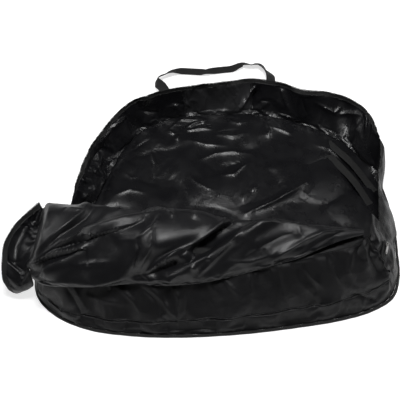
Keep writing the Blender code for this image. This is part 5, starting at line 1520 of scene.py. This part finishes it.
def zip_chain(side, shares):
    """A closed stretch of the zip: its tape, both halves of its coil, its stitches and its end tab."""
    start, along, across, normal = chain_frame(BASE_SHARES, *shares)

    def local(*place_at):
        x, y, z = (np.asarray(value)[..., None] for value in place_at)
        return start + along * x + across * y + normal * z

    xs, ys = np.linspace(0, CHAIN_LENGTH, 40), np.linspace(-0.5, 0.5, 17) * CHAIN_TAPE_WIDTH
    x, y = np.meshgrid(xs, ys, indexing="ij")
    wave = 0.00025 * np.sin(x * 420) * (np.abs(y) / (CHAIN_TAPE_WIDTH / 2)) ** 2
    sheet(f"chain_tape_{side}", local(x, y, wave), [LOOKS["zip_tape"]], thickness=CHAIN_TAPE_THICKNESS * 0.8,
          nodes=(f"zip_chain_{side}",), slot="zip_tape")
    lift = CHAIN_TAPE_THICKNESS / 2 + CHAIN_COIL_HEIGHT / 2 + CLEARANCE
    line = np.linspace(0.0008, CHAIN_LENGTH - 0.0008, 60)
    ups = np.tile(normal, (60, 1))
    for number, offset in enumerate((-CHAIN_COIL_WIDTH / 4, CHAIN_COIL_WIDTH / 4)):
        path = local(line + number * COIL_PITCH / 2 - COIL_PITCH / 4, offset, lift)
        coil(f"chain_coil_{side}_{number}", path, ups, CHAIN_COIL_WIDTH / 2 + COIL_OVERLAP,
             CHAIN_COIL_HEIGHT, nodes=(f"zip_coil_{side}",))
    for number, offset in enumerate(CHAIN_STITCHES):
        path = local(line, offset * CHAIN_TAPE_WIDTH, (CHAIN_TAPE_THICKNESS + THREAD) * 0.4)
        stitches(f"chain_stitches_{side}_{number}", path, ups)
    # The tab over the zip's end: webbing folded over it, with stitches across.
    middle = CHAIN_LENGTH + STOP_LENGTH / 2 + CLEARANCE
    at = np.linspace(-0.5, 0.5, 24) * STOP_WIDTH
    path = local(middle, at, STOP_HEIGHT / 2 - CHAIN_TAPE_THICKNESS / 2)
    rings, v = strap_rings(path, np.tile(along, (24, 1)), ups[:24], STOP_LENGTH, STOP_HEIGHT * 0.96)
    tube(f"end_tab_{side}", rings, [LOOKS["webbing"]], v_at=v, nodes=(f"zip_stop_{side}",), slot="webbing")
    top = STOP_HEIGHT - CHAIN_TAPE_THICKNESS / 2 + THREAD * 0.2
    for number, offset in enumerate(TAB_STITCHES):
        path = local(middle + offset * STOP_LENGTH, at * 0.9, top)
        stitches(f"tab_stitches_{side}_{number}", path, ups[:24])


def metal_parts():
    for side in ("left", "right"):
        for name in (f"zip_slider_{side}", f"zip_pull_{side}"):
            node = frame["nodes"][name]
            for held in node.material_slots:
                held.material = LOOKS["zip_metal"]


# Studio.


def studio():
    """A white floor that glows for camera, glossy and transmission rays, a faint world and three lamps."""
    bpy.ops.mesh.primitive_grid_add(size=FLOOR_SIZE, x_subdivisions=2, y_subdivisions=2)
    floor = bpy.context.object
    floor.name = "studio_floor"
    look = bpy.data.materials.new("studio_white")
    look.use_nodes = True
    tree = look.node_tree
    tree.nodes.clear()
    rays = add_node(tree, "ShaderNodeLightPath").outputs
    looking = rays["Is Camera Ray"]
    for kind in ("Is Glossy Ray", "Is Transmission Ray"):
        inputs = {0: looking, 1: rays[kind]}
        looking = add_node(tree, "ShaderNodeMath", inputs, operation="MAXIMUM").outputs[0]
    level = add_node(tree, "ShaderNodeMath", {0: looking, 1: FLOOR_GLOW}, operation="MULTIPLY").outputs[0]
    plain = add_node(tree, "ShaderNodeBsdfDiffuse", {"Color": FLOOR_WHITE}).outputs[0]
    glow = add_node(tree, "ShaderNodeEmission", {"Color": (1, 1, 1, 1), "Strength": level}).outputs[0]
    both = add_node(tree, "ShaderNodeAddShader", {0: plain, 1: glow}).outputs[0]
    add_node(tree, "ShaderNodeOutputMaterial", {"Surface": both})
    floor.data.materials.append(look)
    world = bpy.data.worlds.new("studio_world")
    bpy.context.scene.world = world
    world.use_nodes = True
    world.node_tree.nodes["Background"].inputs["Color"].default_value = (1, 1, 1, 1)
    world.node_tree.nodes["Background"].inputs["Strength"].default_value = WORLD_LEVEL
    for name, at, aim, size, power in LAMPS:
        lamp = bpy.data.lights.new(name, "AREA")
        lamp.shape = "RECTANGLE"
        lamp.size, lamp.size_y = size
        lamp.energy = power
        held = bpy.data.objects.new(name, lamp)
        held.location = at
        held.rotation_euler = (Vector(aim) - Vector(at)).to_track_quat("-Z", "Y").to_euler()
        bpy.context.scene.collection.objects.link(held)


def camera():
    made = bpy.data.objects.new("camera", bpy.data.cameras.new("camera"))
    bpy.context.scene.collection.objects.link(made)
    target = Vector(SHIFT)
    made.location = target + Vector((0, -math.cos(CAMERA_RISE), math.sin(CAMERA_RISE))) * CAMERA_REACH
    made.rotation_euler = (math.radians(90) - CAMERA_RISE, 0, 0)
    made.data.sensor_width = SENSOR_WIDTH
    made.data.lens = LENS_PIXELS * SENSOR_WIDTH / (2 * FRAME_MIDDLE)
    bpy.context.scene.camera = made


def main():
    bpy.context.scene.view_settings.view_transform = "Standard"
    camera()
    studio()
    grids = build_cloth()
    floor_piece(grids["floor"], grids["floor_faces"])
    rear_wall(grids["rear"], grids["rear_fabric"])
    base_walls(grids["base"], grids["base_along"])
    panel_pieces(grids)
    binding()
    rear_handle()
    front_handle(*grids["flap_form"])
    inner_straps()
    zip_chain("right", RIGHT_CHAIN_SHARES)
    zip_chain("left", LEFT_CHAIN_SHARES)
    metal_parts()


main()
